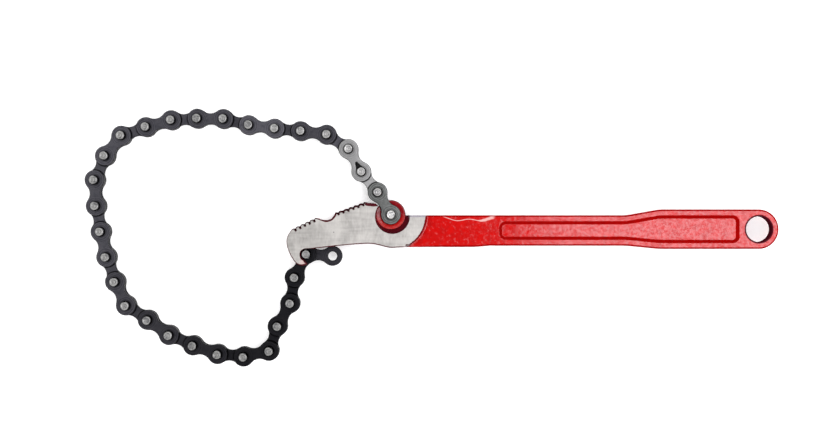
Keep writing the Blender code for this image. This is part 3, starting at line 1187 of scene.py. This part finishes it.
@dataclass
class Chain:
    """The leaf chain: plates two by two, and long pins that stand out past them on both sides.

    Sizes with MM are in metres, those of the pin's profile in millimetres. Levels are heights from the
    chain's middle plane.
    """

    spots: list[Vector]
    end_heading: float
    pitch: float = 15.875 * MM
    lobe_radius: float = 6.05 * MM
    lobe_steps: int = 28
    waist_half: float = 3.25 * MM
    waist_steps: int = 7
    hole_radius: float = 2.72 * MM
    snug_radius: float = 2.58 * MM
    hole_sides: int = 32
    thickness: float = 1.7 * MM
    inner_level: float = 1.0 * MM
    outer_level: float = 3.0 * MM
    edge_round: float = 0.45 * MM
    rim_slack: float = 0.01 * MM
    keyhole_half: float = math.radians(62)
    keyhole_swell: float = 2.2 * MM
    keyhole_reach: float = 6.6 * MM
    keyhole_tip: float = 0.7 * MM
    keyhole_steps: int = 8
    pin_sides: int = 40
    pin_profile: tuple[Place, ...] = (
        (0.0, 8.50), (0.35, 8.50), (0.75, 8.56), (1.15, 8.62), (1.32, 8.56), (1.45, 8.56), (1.6, 8.66),
        (1.95, 8.70), (2.15, 8.68), (2.36, 8.56), (2.48, 8.36), (2.54, 8.1))
    connecting: int = 3
    plate_shades: tuple[float, ...] = (1.0, 1.0, 0.8)
    inner_shade: float = 0.8
    last_dull_inner: int = 10
    near_shade: float = 1.15
    far_shade: float = 0.22
    dark_run: Span = (17.0, 24.0)
    sway: float = 0.5
    sway_links: float = 3.0
    sway_fade: float = 5.0
    end_shade: float = 0.5
    pin_shades: tuple[tuple[int, float], ...] = (
        (1, 0.78), (3, 0.5), (4, 0.58), (7, 0.45), (22, 0.41), (30, 0.34))

    def plate_outline(self) -> list[Vector]:
        """A figure of eight round both pins, the first at the origin and the second on +X.

        Returns:
            The points, counter-clockwise.
        """
        middle, quarter = self.pitch / 2, math.pi / 2
        hollow = (middle ** 2 + self.waist_half ** 2 - self.lobe_radius ** 2) / (
            2 * (self.lobe_radius - self.waist_half))
        off_axis = self.waist_half + hollow
        lean = math.atan2(off_axis, middle)
        dip = quarter - lean
        first = arc(Vector((0, 0)), self.lobe_radius, lean, math.tau - lean, self.lobe_steps)
        below = arc(Vector((middle, -off_axis)), hollow, quarter + dip, quarter - dip, self.waist_steps)
        second = arc(
            Vector((self.pitch, 0)), self.lobe_radius, lean - math.pi, math.pi - lean, self.lobe_steps)
        above = arc(Vector((middle, off_axis)), hollow, dip - quarter, -dip - quarter, self.waist_steps)
        return [*first, *below[1:-1], *second, *above[1:-1]]

    def keyhole(self) -> list[Vector]:
        """The first hole of the connecting plate, drawn out to a blunt tip along the plate.

        Returns:
            The points, counter-clockwise.
        """
        half, reach, tip, steps = self.keyhole_half, self.keyhole_reach, self.keyhole_tip, self.keyhole_steps
        bends = []
        for side in (-1, 1):
            start = Vector((math.cos(half), side * math.sin(half))) * self.hole_radius
            end = Vector((reach - tip, side * tip))
            control = start + Vector((math.sin(half), -side * math.cos(half))) * self.keyhole_swell
            bends.append([
                start * (1 - t) ** 2 + control * 2 * t * (1 - t) + end * t ** 2
                for t in (i / steps for i in range(1, steps + 1))])
        back = arc(Vector((0, 0)), self.hole_radius, half, math.tau - half, steps=24)
        blunt = arc(Vector((reach - tip, 0)), tip, -math.pi / 2, math.pi / 2, steps)
        return [*back, *bends[0], *blunt[1:-1], *reversed(bends[1])]

    def plate(self, name: str, holes: list[list[Vector]]) -> bpy.types.Mesh:
        """A plate about its own first pin, with round edges and a map of its own faces.

        Args:
            name: the mesh's name.
            holes: the outline of each hole.

        Returns:
            The mesh.
        """
        work = bmesh.new()
        rims = []
        for loop in [self.plate_outline(), *holes]:
            verts = [work.verts.new((p.x, p.y, -self.thickness / 2)) for p in loop]
            rims += [work.edges.new((a, b)) for a, b in zip(verts, verts[1:] + verts[:1])]
        filled = bmesh.ops.triangle_fill(work, use_beauty=True, edges=rims)
        base = [f for f in filled["geom"] if isinstance(f, bmesh.types.BMFace)]
        raised(work, base, self.thickness)
        bmesh.ops.bevel(
            work, geom=rim_edges(work), offset=self.edge_round, affect="EDGES", segments=2, profile=0.5,
            material=-1, clamp_overlap=False)
        mapped(work, self.pitch)
        # The rim marks the rounded edges, where the finish paints shade
        rim = work.verts.layers.float.new("rim")
        for vert in work.verts:
            vert[rim] = 1.0 if abs(vert.co.z) < self.thickness / 2 - self.rim_slack else 0.0
        mesh = stored(work, name)
        dressed(mesh, sharp=math.radians(50))
        flat = placed(name, mesh)
        weighted = flat.modifiers.new("weighted", "WEIGHTED_NORMAL")
        weighted.weight = 90
        mesh = finished_mesh(flat)
        removed(flat)
        return mesh

    def pin(self) -> bpy.types.Mesh:
        """A pin about its own middle: chamfered ends with a shallow ring and a dimple.

        Returns:
            The mesh.
        """
        low = [(r * MM, -z * MM) for r, z in self.pin_profile]
        high = [(r * MM, z * MM) for r, z in reversed(self.pin_profile)]
        work = turned(low + high, self.pin_sides, Vector((0, 0)))
        mapped(work, self.pitch)
        mesh = stored(work, "pin")
        dressed(mesh, sharp=math.radians(60))
        return mesh

    def heading(self, number: int) -> float:
        """The heading of a link, from its first pin to its second.

        Args:
            number: the link's number, from 1.

        Returns:
            The angle from +X, in radians.
        """
        if number == len(self.spots):
            return self.end_heading
        way = self.spots[number] - self.spots[number - 1]
        return math.atan2(way.y, way.x)

    def lay(self, name: str, mesh: bpy.types.Mesh, number: int, level: float,
            flip: bool = False) -> bpy.types.Object:
        """Puts a copy of a plate in its place on the chain.

        Args:
            name: the new piece's name.
            mesh: the plate about its own first pin.
            number: the number of its link, from 1.
            level: how far above the middle plane it lies.
            flip: whether its other face is up.

        Returns:
            The piece.
        """
        own = mesh.copy()
        if flip:
            own.transform(Matrix.Rotation(math.pi, 4, "X"))
        spot = self.spots[number - 1]
        own.transform(
            Matrix.Translation(spot + Vector((0, 0, level))) @ Matrix.Rotation(self.heading(number), 4, "Z"))
        return placed(name, own)

    def build(self, finishes: dict[str, bpy.types.Material]) -> None:
        """Makes every plate and pin, each riding on its link.

        Args:
            finishes: the materials dark_plate, dull_plate, bright_plate and pin.
        """
        round_holes, snug_holes = (
            [arc(Vector((x, 0)), radius, 0, math.tau, self.hole_sides)[:-1] for x in (0, self.pitch)]
            for radius in (self.hole_radius, self.snug_radius))
        meshes = {
            "plain": self.plate("plate", round_holes), "snug": self.plate("snug_plate", snug_holes),
            "keyed": self.plate("keyhole_plate", [self.keyhole(), round_holes[1]])}
        pin = self.pin()
        for number in range(1, len(self.spots) + 1):
            for side in Side:
                self.build_plate(number, side, meshes, finishes)
            if number % 2:
                for step in (0, 1):
                    self.build_pin(number, step, pin, finishes["pin"])

    def build_plate(self, number: int, side: Side, meshes: dict[str, bpy.types.Mesh],
                    finishes: dict[str, bpy.types.Material]) -> None:
        """Makes one plate.

        Args:
            number: the number of its link, from 1.
            side: the face that it lies nearest to.
            meshes: the plates plain, snug and keyed, each about its own first pin.
            finishes: the materials by name.
        """
        kind = LinkKind.OUTER if number % 2 else LinkKind.INNER
        level = self.outer_level if kind is LinkKind.OUTER else self.inner_level
        covered = kind is LinkKind.INNER and number < len(self.spots)
        keyed = number == self.connecting and side is Side.UPPER
        near = number <= self.connecting
        finish = "dull_plate" if number == 1 else "bright_plate" if near else "dark_plate"
        piece = self.lay(
            "%s_%s_%02d" % (kind.value, side.name.lower(), number),
            meshes["snug" if covered else "keyed" if keyed else "plain"],
            number, side.value * level, side is Side.LOWER)
        piece.data.materials.append(finishes[finish])
        stored_value(piece.data, "shade", self.plate_shade(number))
        # The covered mask tells the finish where to paint shade under another link's plates
        stored_value(piece.data, "covered", 1.0 if covered else 0.0)
        self.declare(
            piece, number, self.node_of(kind, side, number), "bright_link_steel" if near else "chain_steel")

    def build_pin(self, number: int, step: int, mesh: bpy.types.Mesh, finish: bpy.types.Material) -> None:
        """Makes one pin, which rides on an outer link.

        Args:
            number: the link's number, from 1.
            step: 0 for the link's first pin, 1 for its second.
            mesh: the pin about its own middle.
            finish: its material.
        """
        piece = self.lay("pin_%02d" % (number + step), mesh, number, 0.0)
        piece.data.transform(Matrix.Translation(self.spots[number - 1 + step] - self.spots[number - 1]))
        piece.data.materials.append(finish)
        stored_value(piece.data, "shade", self.pin_shade(number + step))
        self.declare(piece, number, "pin_plate_%02d" % number, "pin_steel")

    def plate_shade(self, number: int) -> float:
        """How bright a link's plates are: the far half of the chain is darker.

        Args:
            number: the link's number, from 1.

        Returns:
            The tone, 1 for plain steel.
        """
        if number <= len(self.plate_shades):
            return self.plate_shades[number - 1]
        if number == len(self.spots):
            return self.end_shade
        inner = self.inner_shade if number % 2 == 0 and number <= self.last_dull_inner else 1.0
        start, end = self.dark_run
        share = min(1.0, max(0.0, (number - start) / (end - start)))
        past = number - len(self.plate_shades) - 1
        batch = 1 + self.sway * math.cos(math.tau * past / self.sway_links) * math.exp(-past / self.sway_fade)
        return inner * batch * (self.near_shade + (self.far_shade - self.near_shade) * share)

    def pin_shade(self, number: int) -> float:
        """How bright a pin's ends are: the anchor rivet is the brightest."""
        return next(tone for last, tone in self.pin_shades if number <= last)

    def node_of(self, kind: LinkKind, side: Side, number: int) -> str:
        """The name of the CAD node that a plate stands for.

        Args:
            kind: the kind of its link.
            side: the face that it lies nearest to.
            number: the number of its link, from 1.

        Returns:
            The name.
        """
        if number == len(self.spots):
            return "end_link_%02d" % number
        if kind is LinkKind.INNER:
            return "inner_plate_%s_%02d" % (side.name.lower(), number)
        if side is Side.LOWER:
            return "pin_plate_%02d" % number
        return "connecting_plate_03" if number == self.connecting else "outer_plate_upper_%02d" % number

    @staticmethod
    def declare(piece: bpy.types.Object, number: int, node: str, slot: str) -> None:
        """Ties a piece of the chain to its link, and hides its CAD node.

        Args:
            piece: the piece.
            number: the number of its link, from 1.
            node: the name of its CAD node.
            slot: not used.
        """
        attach(piece, "link_%02d" % number)
        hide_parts(node)
        LOG.info("%s stands for %s", piece.name, node)


# Finishes

@dataclass(frozen=True)
class ForgingFinish:
    """Red paint over a forged skin, with two faces ground back to bare steel, and painted shade and
    highlights.

    The anchor is in metres in the world. Every other length is in millimetres, counted from the anchor
    rivet, and in height from the middle plane. A spot is a place with the two radii between which its
    mask fades out.
    """

    anchor: Vector
    red: Colour = (0.43, 0.002, 0.0015, 1)
    deep_red: Colour = (0.32, 0.0012, 0.0012, 1)
    # Painted shade in the pocket, then the painted lit red of its lower side
    pocket_shade_red: Colour = (0.165, 0.003, 0.006, 1)
    pocket_red: Colour = (0.42, 0.006, 0.005, 1)
    # Painted shade on the head's walls and rim and round the hanging hole
    shade_maroon: Colour = (0.055, 0.004, 0.008, 1)
    shadow_red: Colour = (0.05, 0.001, 0.001, 1)
    # Painted shade in the tooth roots and inside the hook
    crevice_shade_dark: Colour = (0.028, 0.006, 0.008, 1)
    # Worn paint on the nose, and the colour of the painted highlight streak along the neck
    worn_paint_and_highlight: Colour = (0.62, 0.40, 0.38, 1)
    # Bare steel at the neck's upper corner, darker and lavender as a painted reflection
    bare_edge_reflection: Colour = (0.30, 0.28, 0.31, 1)
    steel: Colour = (0.45, 0.434, 0.413, 1)
    dull_steel: Colour = (0.25, 0.242, 0.23, 1)
    pit: Colour = (0.14, 0.14, 0.14, 1)
    middle: float = 9.0
    paint_level: float = 8.984
    paint_fray: float = 0.05
    paint_step: float = 90.0
    ground_spot: Spot = (0.0, 0.0, 21.0, 21.25)
    pocket_spot: Spot = (0.0, 0.0, 10.5, 12.5)
    hook_spot: Spot = (-50.6, -24.0, 4.0, 5.4)
    bore_spot: Spot = (223.4, -8.8, 8.5, 9.0)
    punch_spot: Spot = (-34.4, -10.6, 0.15, 0.6)
    nose_spot: Spot = (-52.0, -29.5, 1.0, 4.5)
    corner_up: Span = (-1.75, -1.35)
    corner_starts: Span = (9.0, 10.0)
    corner_ends: Span = (21.2, 22.4)
    corner_level: Span = (6.8, 7.6)
    wall_tilt: Span = (0.35, 0.93)
    wall_level: Span = (5.0, 7.0)
    wall_ends: Span = (12.0, 20.0)
    head_ends: Span = (16.0, 30.0)
    pocket_level: Span = (5.0, 8.9)
    pocket_up: Span = (-6.0, 3.0)
    slope_tilt: tuple[Span, Span] = ((0.15, 0.4), (0.88, 0.97))
    slope_starts: Span = (16.0, 24.0)
    # Where the painted highlight streak runs along the neck's upper edge
    highlight_span: Span = (31.0, 64.0)
    highlight_level: float = -3.2
    highlight_wave: Span = (0.5, 14.2)
    highlight_lift: float = 1.9
    highlight_half: Span = (0.14, 0.6)
    highlight_swell: Span = (12.0, 6.0)
    highlight_fade: float = 3.0

    def near(self, recipe: Recipe, place: Socket, spot: Spot) -> Socket:
        """A mask that is 1 about a spot and fades out.

        Args:
            recipe: the tree it goes into.
            place: the place from the anchor rivet.
            spot: the spot.

        Returns:
            The mask's socket.
        """
        x, y, inside, outside = spot
        flat = recipe.vector("MULTIPLY", place, (1.0, 1.0, 0.0))
        return recipe.ramp(recipe.vector("DISTANCE", flat, (x, y, 0.0)), inside, outside, 1.0, 0.0)

    def highlight_streak(self, recipe: Recipe, place: Socket, spot: Socket) -> Socket:
        """A mask of the painted highlight, a pale wavy streak along the neck's upper edge.

        Args:
            recipe: the tree it goes into.
            place: the place from the anchor rivet.
            spot: the coordinates that its ragged edge follows.

        Returns:
            The mask's socket.
        """
        along, up = recipe.parts(place)[:2]
        start, end = self.highlight_span
        swing, wave = self.highlight_wave
        off_middle = recipe.maths("SUBTRACT", along, (start + end) / 2)
        waves = recipe.maths("COSINE", recipe.times(off_middle, math.tau / wave))
        bend = recipe.maths("POWER", recipe.times(off_middle, 2 / (end - start)), 4.0)
        line = recipe.plus(recipe.times(waves, swing), recipe.times(bend, self.highlight_lift), self.highlight_level)
        off = recipe.maths("ABSOLUTE", recipe.maths("SUBTRACT", up, line))
        swell, full = self.highlight_swell
        wide = recipe.ramp(along, end - swell, end - full, *self.highlight_half)
        ragged = recipe.ramp(recipe.noise(spot, 700.0), 0.35, 0.65, 0.4, 1.3)
        core = recipe.ramp(off, recipe.times(wide, ragged), recipe.times(wide, 2.2), 1.0, 0.0)
        starts = recipe.ramp(along, start, start + self.highlight_fade)
        ends = recipe.ramp(along, end - self.highlight_fade, end, 1.0, 0.0)
        return recipe.times(core, starts, ends, 0.75)

    def build(self, effects: Effects) -> bpy.types.Material:
        """The material.

        Args:
            effects: the shared node groups.

        Returns:
            The finished material.
        """
        made, shader, recipe = new_material("painted_forging")
        coordinates = recipe.node("TexCoord")
        spot = coordinates.outputs["Object"]
        origin = (self.anchor.x, self.anchor.y, self.middle * MM)
        place = recipe.vector("MULTIPLY", recipe.vector("SUBTRACT", spot, origin), (1 / MM, 1 / MM, 1 / MM))
        along, up, height = recipe.parts(place)
        level = recipe.maths("ABSOLUTE", height)
        tilt = recipe.maths("ABSOLUTE", recipe.parts(coordinates.outputs["Normal"])[2])

        # Where the steel is bare: the ground faces, and the corner of the neck's upper edge
        fray = recipe.times(recipe.noise(spot, 900.0, 4.0), self.paint_fray)
        over = recipe.maths("SUBTRACT", recipe.plus(level, fray), self.paint_level)
        ground = recipe.times(
            recipe.maths("MULTIPLY", over, self.paint_step, clamp=True),
            recipe.most(self.near(recipe, place, self.ground_spot), recipe.ramp(along, 0.0, 2.0, 1.0, 0.0)))
        edge = recipe.times(
            recipe.ramp(up, *self.corner_up), recipe.ramp(along, *self.corner_ends, 1.0, 0.0),
            recipe.ramp(level, *self.corner_level), recipe.ramp(along, *self.corner_starts))
        bare = recipe.most(ground, edge)

        # Painted shade: on the head's walls and rim, in the tooth roots and hook, in the pocket with its
        # lower side painted lit again, on steep slopes and round the hanging hole
        # Painted shade on surfaces that turn away from the top, and on the head's rim
        rim = recipe.most(
            recipe.ramp(tilt, *self.wall_tilt, 1.0, 0.0),
            recipe.times(recipe.ramp(level, *self.wall_level), recipe.ramp(along, *self.wall_ends, 1.0, 0.0)))
        rim = recipe.times(rim, recipe.ramp(along, *self.head_ends, 1.0, 0.15))
        # Painted shade in the tooth roots and inside the hook
        root = recipe.most(
            recipe.ramp(recipe.stored_mask("root_shade"), 0.05, 0.5), self.near(recipe, place, self.hook_spot))
        # Painted shade in the pocket, stronger deeper down; its lower side is then painted lit again with a
        # brighter red
        pocket_shade_mask = recipe.times(
            self.near(recipe, place, self.pocket_spot), recipe.ramp(level, *self.pocket_level, 1.0, 0.4))
        low = recipe.times(pocket_shade_mask, recipe.ramp(up, *self.pocket_up, 1.0, 0.0))
        upright, flat = self.slope_tilt
        steep = recipe.times(
            recipe.ramp(tilt, *flat, 1.0, 0.0), recipe.ramp(tilt, *upright),
            recipe.ramp(along, *self.slope_starts))
        # Painted shade round the hanging hole's rounded rim
        bore_shade = self.near(recipe, place, self.bore_spot)

        mottle = recipe.grouped(effects.mottle, Vector=spot, Scale=300.0, Contrast=3.0)
        paint = recipe.layered(
            recipe.blend(mottle, self.deep_red, self.red), (pocket_shade_mask, self.pocket_shade_red), (low, self.pocket_red),
            (recipe.times(steep, 0.42), self.shadow_red), (bore_shade, self.shade_maroon), (rim, self.shade_maroon),
            (recipe.times(root, 0.9), self.crevice_shade_dark), (self.highlight_streak(recipe, place, spot), self.worn_paint_and_highlight))
        lines = recipe.noise(recipe.vector("MULTIPLY", spot, (60.0, 900.0, 60.0)), 1.0)
        smear = recipe.vector("MULTIPLY", spot, (1.6, 0.6, 1.0))
        blotch = recipe.grouped(effects.mottle, Vector=smear, Scale=80.0, Contrast=3.6)
        worn = recipe.plus(recipe.times(lines, 0.35), recipe.times(blotch, 0.65))
        # The bare corner of the neck's upper edge takes a darker lavender grey, a painted reflection on bare
        # steel
        steel = recipe.layered(
            recipe.blend(worn, self.dull_steel, self.steel),
            (recipe.times(self.near(recipe, place, self.punch_spot), 0.9), self.pit),
            (recipe.times(self.near(recipe, place, self.nose_spot), 0.5), self.worn_paint_and_highlight),
            (edge, self.bare_edge_reflection))

        flecks = recipe.ramp(recipe.noise(spot, 520.0, roughness=0.6), 0.53, 0.68, 0.0, 0.2)
        paint_rough = recipe.plus(
            recipe.ramp(mottle, 0.2, 0.8, 0.115, 0.085), flecks, recipe.times(root, 0.4))
        grit = recipe.ramp(recipe.noise(spot, 620.0, 4.0, 0.75), 0.38, 0.62, 0.5, 1.3)
        matt = recipe.most(steep, bore_shade, root, recipe.times(rim, 0.85), recipe.times(pocket_shade_mask, 0.45))
        peel = recipe.grouped(
            effects.peel, Vector=spot, Pebble_Scale=700.0, Pebble=0.5, Dent_Scale=210.0, Dent=1.0)
        recipe.fed(
            shader, Base_Color=recipe.blend(bare, paint, steel), Metallic=bare,
            Roughness=recipe.between(bare, paint_rough, recipe.ramp(lines, 0.2, 0.8, 0.36, 0.5)),
            Specular_IOR_Level=recipe.times(grit, 0.46, recipe.maths("SUBTRACT", 1.0, matt)),
            Normal=recipe.bumped(recipe.between(bare, peel, recipe.times(lines, 0.06)), 0.05 * MM, 1.0))
        return made


@dataclass(frozen=True)
class PlateFinish:
    """Rolled steel plate with rub marks in rings round its pins, and painted shade along its edges and where
    another plate covers it.

    Radii are shares of the pitch, as the plate's own map is.
    """

    name: str
    base: Colour
    worn: Colour
    roughness: float
    metallic: float
    ring_share: float
    ring_waves: float = 84.0
    ring_stir: float = 9.0
    ring_fade: Span = (0.34, 0.40)
    # How the painted shade fades round the pins, and how strong it is under covering plates and on the edges
    covered_shade_fade: Span = (0.40, 0.42)
    painted_shade: float = 0.95
    rim_painted_shade: float = 0.8

    def build(self, effects: Effects) -> bpy.types.Material:
        """The material.

        Args:
            effects: the shared node groups.

        Returns:
            The finished material.
        """
        made, shader, recipe = new_material(self.name)
        spot = recipe.node("TexCoord").outputs["Object"]
        plate = recipe.node("UVMap", uv_map="plate_map").outputs[0]
        reach = recipe.maths(
            "MINIMUM", recipe.vector("LENGTH", plate), recipe.vector("DISTANCE", plate, (1.0, 0.0, 0.0)))
        stir = recipe.times(recipe.noise(spot, 130.0, 2.0), self.ring_stir)
        swirl = recipe.plus(recipe.times(reach, self.ring_waves), stir)
        near = recipe.ramp(reach, *self.ring_fade, 1.0, 0.0)
        rings = recipe.times(recipe.maths("SINE", swirl), 0.5, near, self.ring_share)
        mottle = recipe.grouped(effects.mottle, Vector=spot, Scale=330.0, Contrast=2.4)
        steel = recipe.blend(recipe.maths("ADD", mottle, rings, clamp=True), self.base, self.worn)
        # Painted shade where another plate covers this one, and along the rounded edges
        painted_shade = recipe.most(
            recipe.times(recipe.stored_mask("covered"), recipe.ramp(reach, *self.covered_shade_fade, self.painted_shade, 0.0)),
            recipe.times(recipe.stored_mask("rim"), self.rim_painted_shade))
        tone = recipe.times(recipe.stored_mask("shade"), recipe.maths("SUBTRACT", 1.0, painted_shade))
        peel = recipe.grouped(
            effects.peel, Vector=spot, Pebble_Scale=1500.0, Pebble=0.5, Dent_Scale=300.0, Dent=0.8)
        recipe.fed(
            shader, Base_Color=recipe.blend(1.0, steel, tone, "MULTIPLY"), Metallic=self.metallic,
            Roughness=recipe.ramp(mottle, 0.2, 0.8, self.roughness + 0.08, self.roughness - 0.06),
            Specular_IOR_Level=recipe.maths("MULTIPLY", tone, 0.5, clamp=True),
            Normal=recipe.bumped(recipe.plus(peel, recipe.times(rings, 0.5)), 0.03 * MM, 0.8))
        return made


@dataclass(frozen=True)
class PinFinish:
    """Bright pin steel with a turned swirl on its ends, and painted shade on its sides.

    Radii are shares of the chain's pitch, as the pin's own map is.
    """

    bright: Colour = (0.66, 0.655, 0.64, 1)
    dark: Colour = (0.20, 0.20, 0.21, 1)
    ring_starts: Span = (0.07, 0.085)
    ring_ends: Span = (0.095, 0.115)
    edge_starts: Span = (0.145, 0.156)
    # Where the painted shade on the pin's sides starts, and how dark it is
    side_starts: Span = (0.157, 0.1595)
    side_painted_shade: float = 0.15

    def build(self, effects: Effects) -> bpy.types.Material:
        """The material.

        Args:
            effects: the shared node groups.

        Returns:
            The finished material.
        """
        made, shader, recipe = new_material("pin_steel_finish")
        spot = recipe.node("TexCoord").outputs["Object"]
        reach = recipe.vector("LENGTH", recipe.node("UVMap", uv_map="plate_map").outputs[0])
        smear = recipe.grouped(effects.mottle, Vector=spot, Scale=420.0, Contrast=3.0)
        ring = recipe.times(
            recipe.ramp(reach, *self.ring_starts), recipe.ramp(reach, *self.ring_ends, 1.0, 0.0), 0.6)
        edge = recipe.times(recipe.ramp(reach, *self.edge_starts), 0.7)
        blots = recipe.ramp(smear, 0.52, 0.75, 0.0, 0.7)
        marks = recipe.maths("ADD", recipe.plus(ring, edge), blots, clamp=True)
        # The shade attribute's tone, with painted shade on the pin's sides
        tone = recipe.times(
            recipe.stored_mask("shade"), recipe.ramp(reach, *self.side_starts, 1.0, self.side_painted_shade))
        steel = recipe.blend(marks, self.bright, self.dark)
        recipe.fed(
            shader, Base_Color=recipe.blend(1.0, steel, tone, "MULTIPLY"), Metallic=1.0,
            Roughness=recipe.ramp(smear, 0.3, 0.8, 0.28, 0.45),
            Normal=recipe.bumped(recipe.noise(spot, 900.0), 0.03 * MM, 0.7))
        return made


# The studio

@dataclass
class Studio:
    """A pale floor, an even white surround, one overhead softbox and the camera."""

    camera_spot: tuple[float, float, float] = (-0.0097, 0.0116, 1.0175)
    lens: float = 71.7
    far_clip: float = 20.0
    softbox_spot: tuple[float, float, float] = (0.385, 0.01, 1.30)
    softbox_size: Span = (0.47, 0.60)
    softbox_power: float = 5.0
    softbox_tint: tuple[float, float, float] = (1.0, 0.98, 1.03)
    floor_half: float = 3.0
    floor_drop: float = 0.05 * MM
    floor_greys: tuple[Colour, Colour] = ((0.90, 0.90, 0.90, 1), (0.93, 0.93, 0.93, 1))
    floor_glow: float = 0.26
    white: Colour = (1, 1, 1, 1)

    def floor(self) -> None:
        """Lays the floor under the wrench."""
        work = bmesh.new()
        bmesh.ops.create_grid(work, x_segments=1, y_segments=1, size=self.floor_half)
        bmesh.ops.translate(work, verts=work.verts, vec=(0, 0, -self.floor_drop))
        sheet = put("studio_floor", work)
        made, shader, recipe = new_material("floor_paper")
        grain = recipe.noise(recipe.node("TexCoord").outputs["Object"], 40.0)
        recipe.fed(
            shader, Base_Color=recipe.blend(grain, *self.floor_greys), Roughness=0.9, Specular_IOR_Level=0.1,
            Emission_Color=self.white, Emission_Strength=self.floor_glow)
        sheet.data.materials.append(made)
        sheet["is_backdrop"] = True

    def surround(self) -> None:
        """A white surround, brighter above, with a dark gap round the camera."""
        world = bpy.data.worlds.new("surround")
        bpy.context.scene.world = world
        world.use_nodes = True
        recipe = Recipe(world.node_tree)
        rise = recipe.parts(recipe.node("TexCoord").outputs["Generated"])[2]
        dome = recipe.ramp(rise, 0.05, 0.75, 0.2, 2.15)
        gap = recipe.ramp(rise, 0.925, 0.978, 1.0, 0.05)
        recipe.fed(world.node_tree.nodes["Background"], Strength=recipe.times(dome, gap), Color=self.white)

    def softbox(self) -> None:
        """The overhead softbox on the right."""
        light = bpy.data.lights.new("softbox", "AREA")
        light.shape = "RECTANGLE"
        light.size, light.size_y = self.softbox_size
        light.energy = self.softbox_power
        light.color = self.softbox_tint
        lamp = bpy.data.objects.new("softbox", light)
        lamp.location = self.softbox_spot
        bpy.context.scene.collection.objects.link(lamp)

    def camera(self) -> None:
        """The camera, straight above the wrench."""
        lens = bpy.data.cameras.new("camera")
        lens.lens = self.lens
        lens.clip_end = self.far_clip
        eye = bpy.data.objects.new("camera", lens)
        eye.location = self.camera_spot
        bpy.context.scene.collection.objects.link(eye)
        bpy.context.scene.camera = eye

    def build(self) -> None:
        """Sets the whole studio up."""
        self.camera()
        self.floor()
        self.surround()
        self.softbox()
        bpy.context.scene.view_settings.view_transform = "Standard"


def main() -> list:
    """Builds the whole scene.

    Returns:
        The box of the CAD frame, before anything replaces its nodes.
    """
    logging.basicConfig(level=logging.INFO, format="%(name)s: %(message)s")
    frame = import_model()
    cad_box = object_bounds()
    Studio().build()
    effects = Effects()
    spots = [Vector(joint["pos_m"]) for joint in frame["joints"]]
    low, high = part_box("end_link_30")
    end_way = (Vector(low) + Vector(high)) / 2 - spots[-1]

    forging = ForgedBody(anchor=spots[0]).build(ForgingFinish(spots[0]).build(effects))
    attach(forging, "wrench")
    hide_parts("wrench_body")
    LOG.info("%s stands for wrench_body", forging.name)

    looks = {
        "dark_plate": PlateFinish(
            "dark_plate_finish", (0.018, 0.018, 0.024, 1), (0.055, 0.053, 0.062, 1), 0.42, 0.75, 0.7),
        "dull_plate": PlateFinish(
            "dull_plate_finish", (0.055, 0.058, 0.056, 1), (0.14, 0.145, 0.142, 1), 0.42, 0.9, 0.8),
        "bright_plate": PlateFinish(
            "bright_plate_finish", (0.20, 0.20, 0.20, 1), (0.34, 0.34, 0.34, 1), 0.40, 0.95, 0.5),
        "pin": PinFinish()}
    finishes = {key: look.build(effects) for key, look in looks.items()}
    Chain(spots, math.atan2(end_way.y, end_way.x)).build(finishes)
    return cad_box


if __name__ == "__main__":
    box_at_start = main()
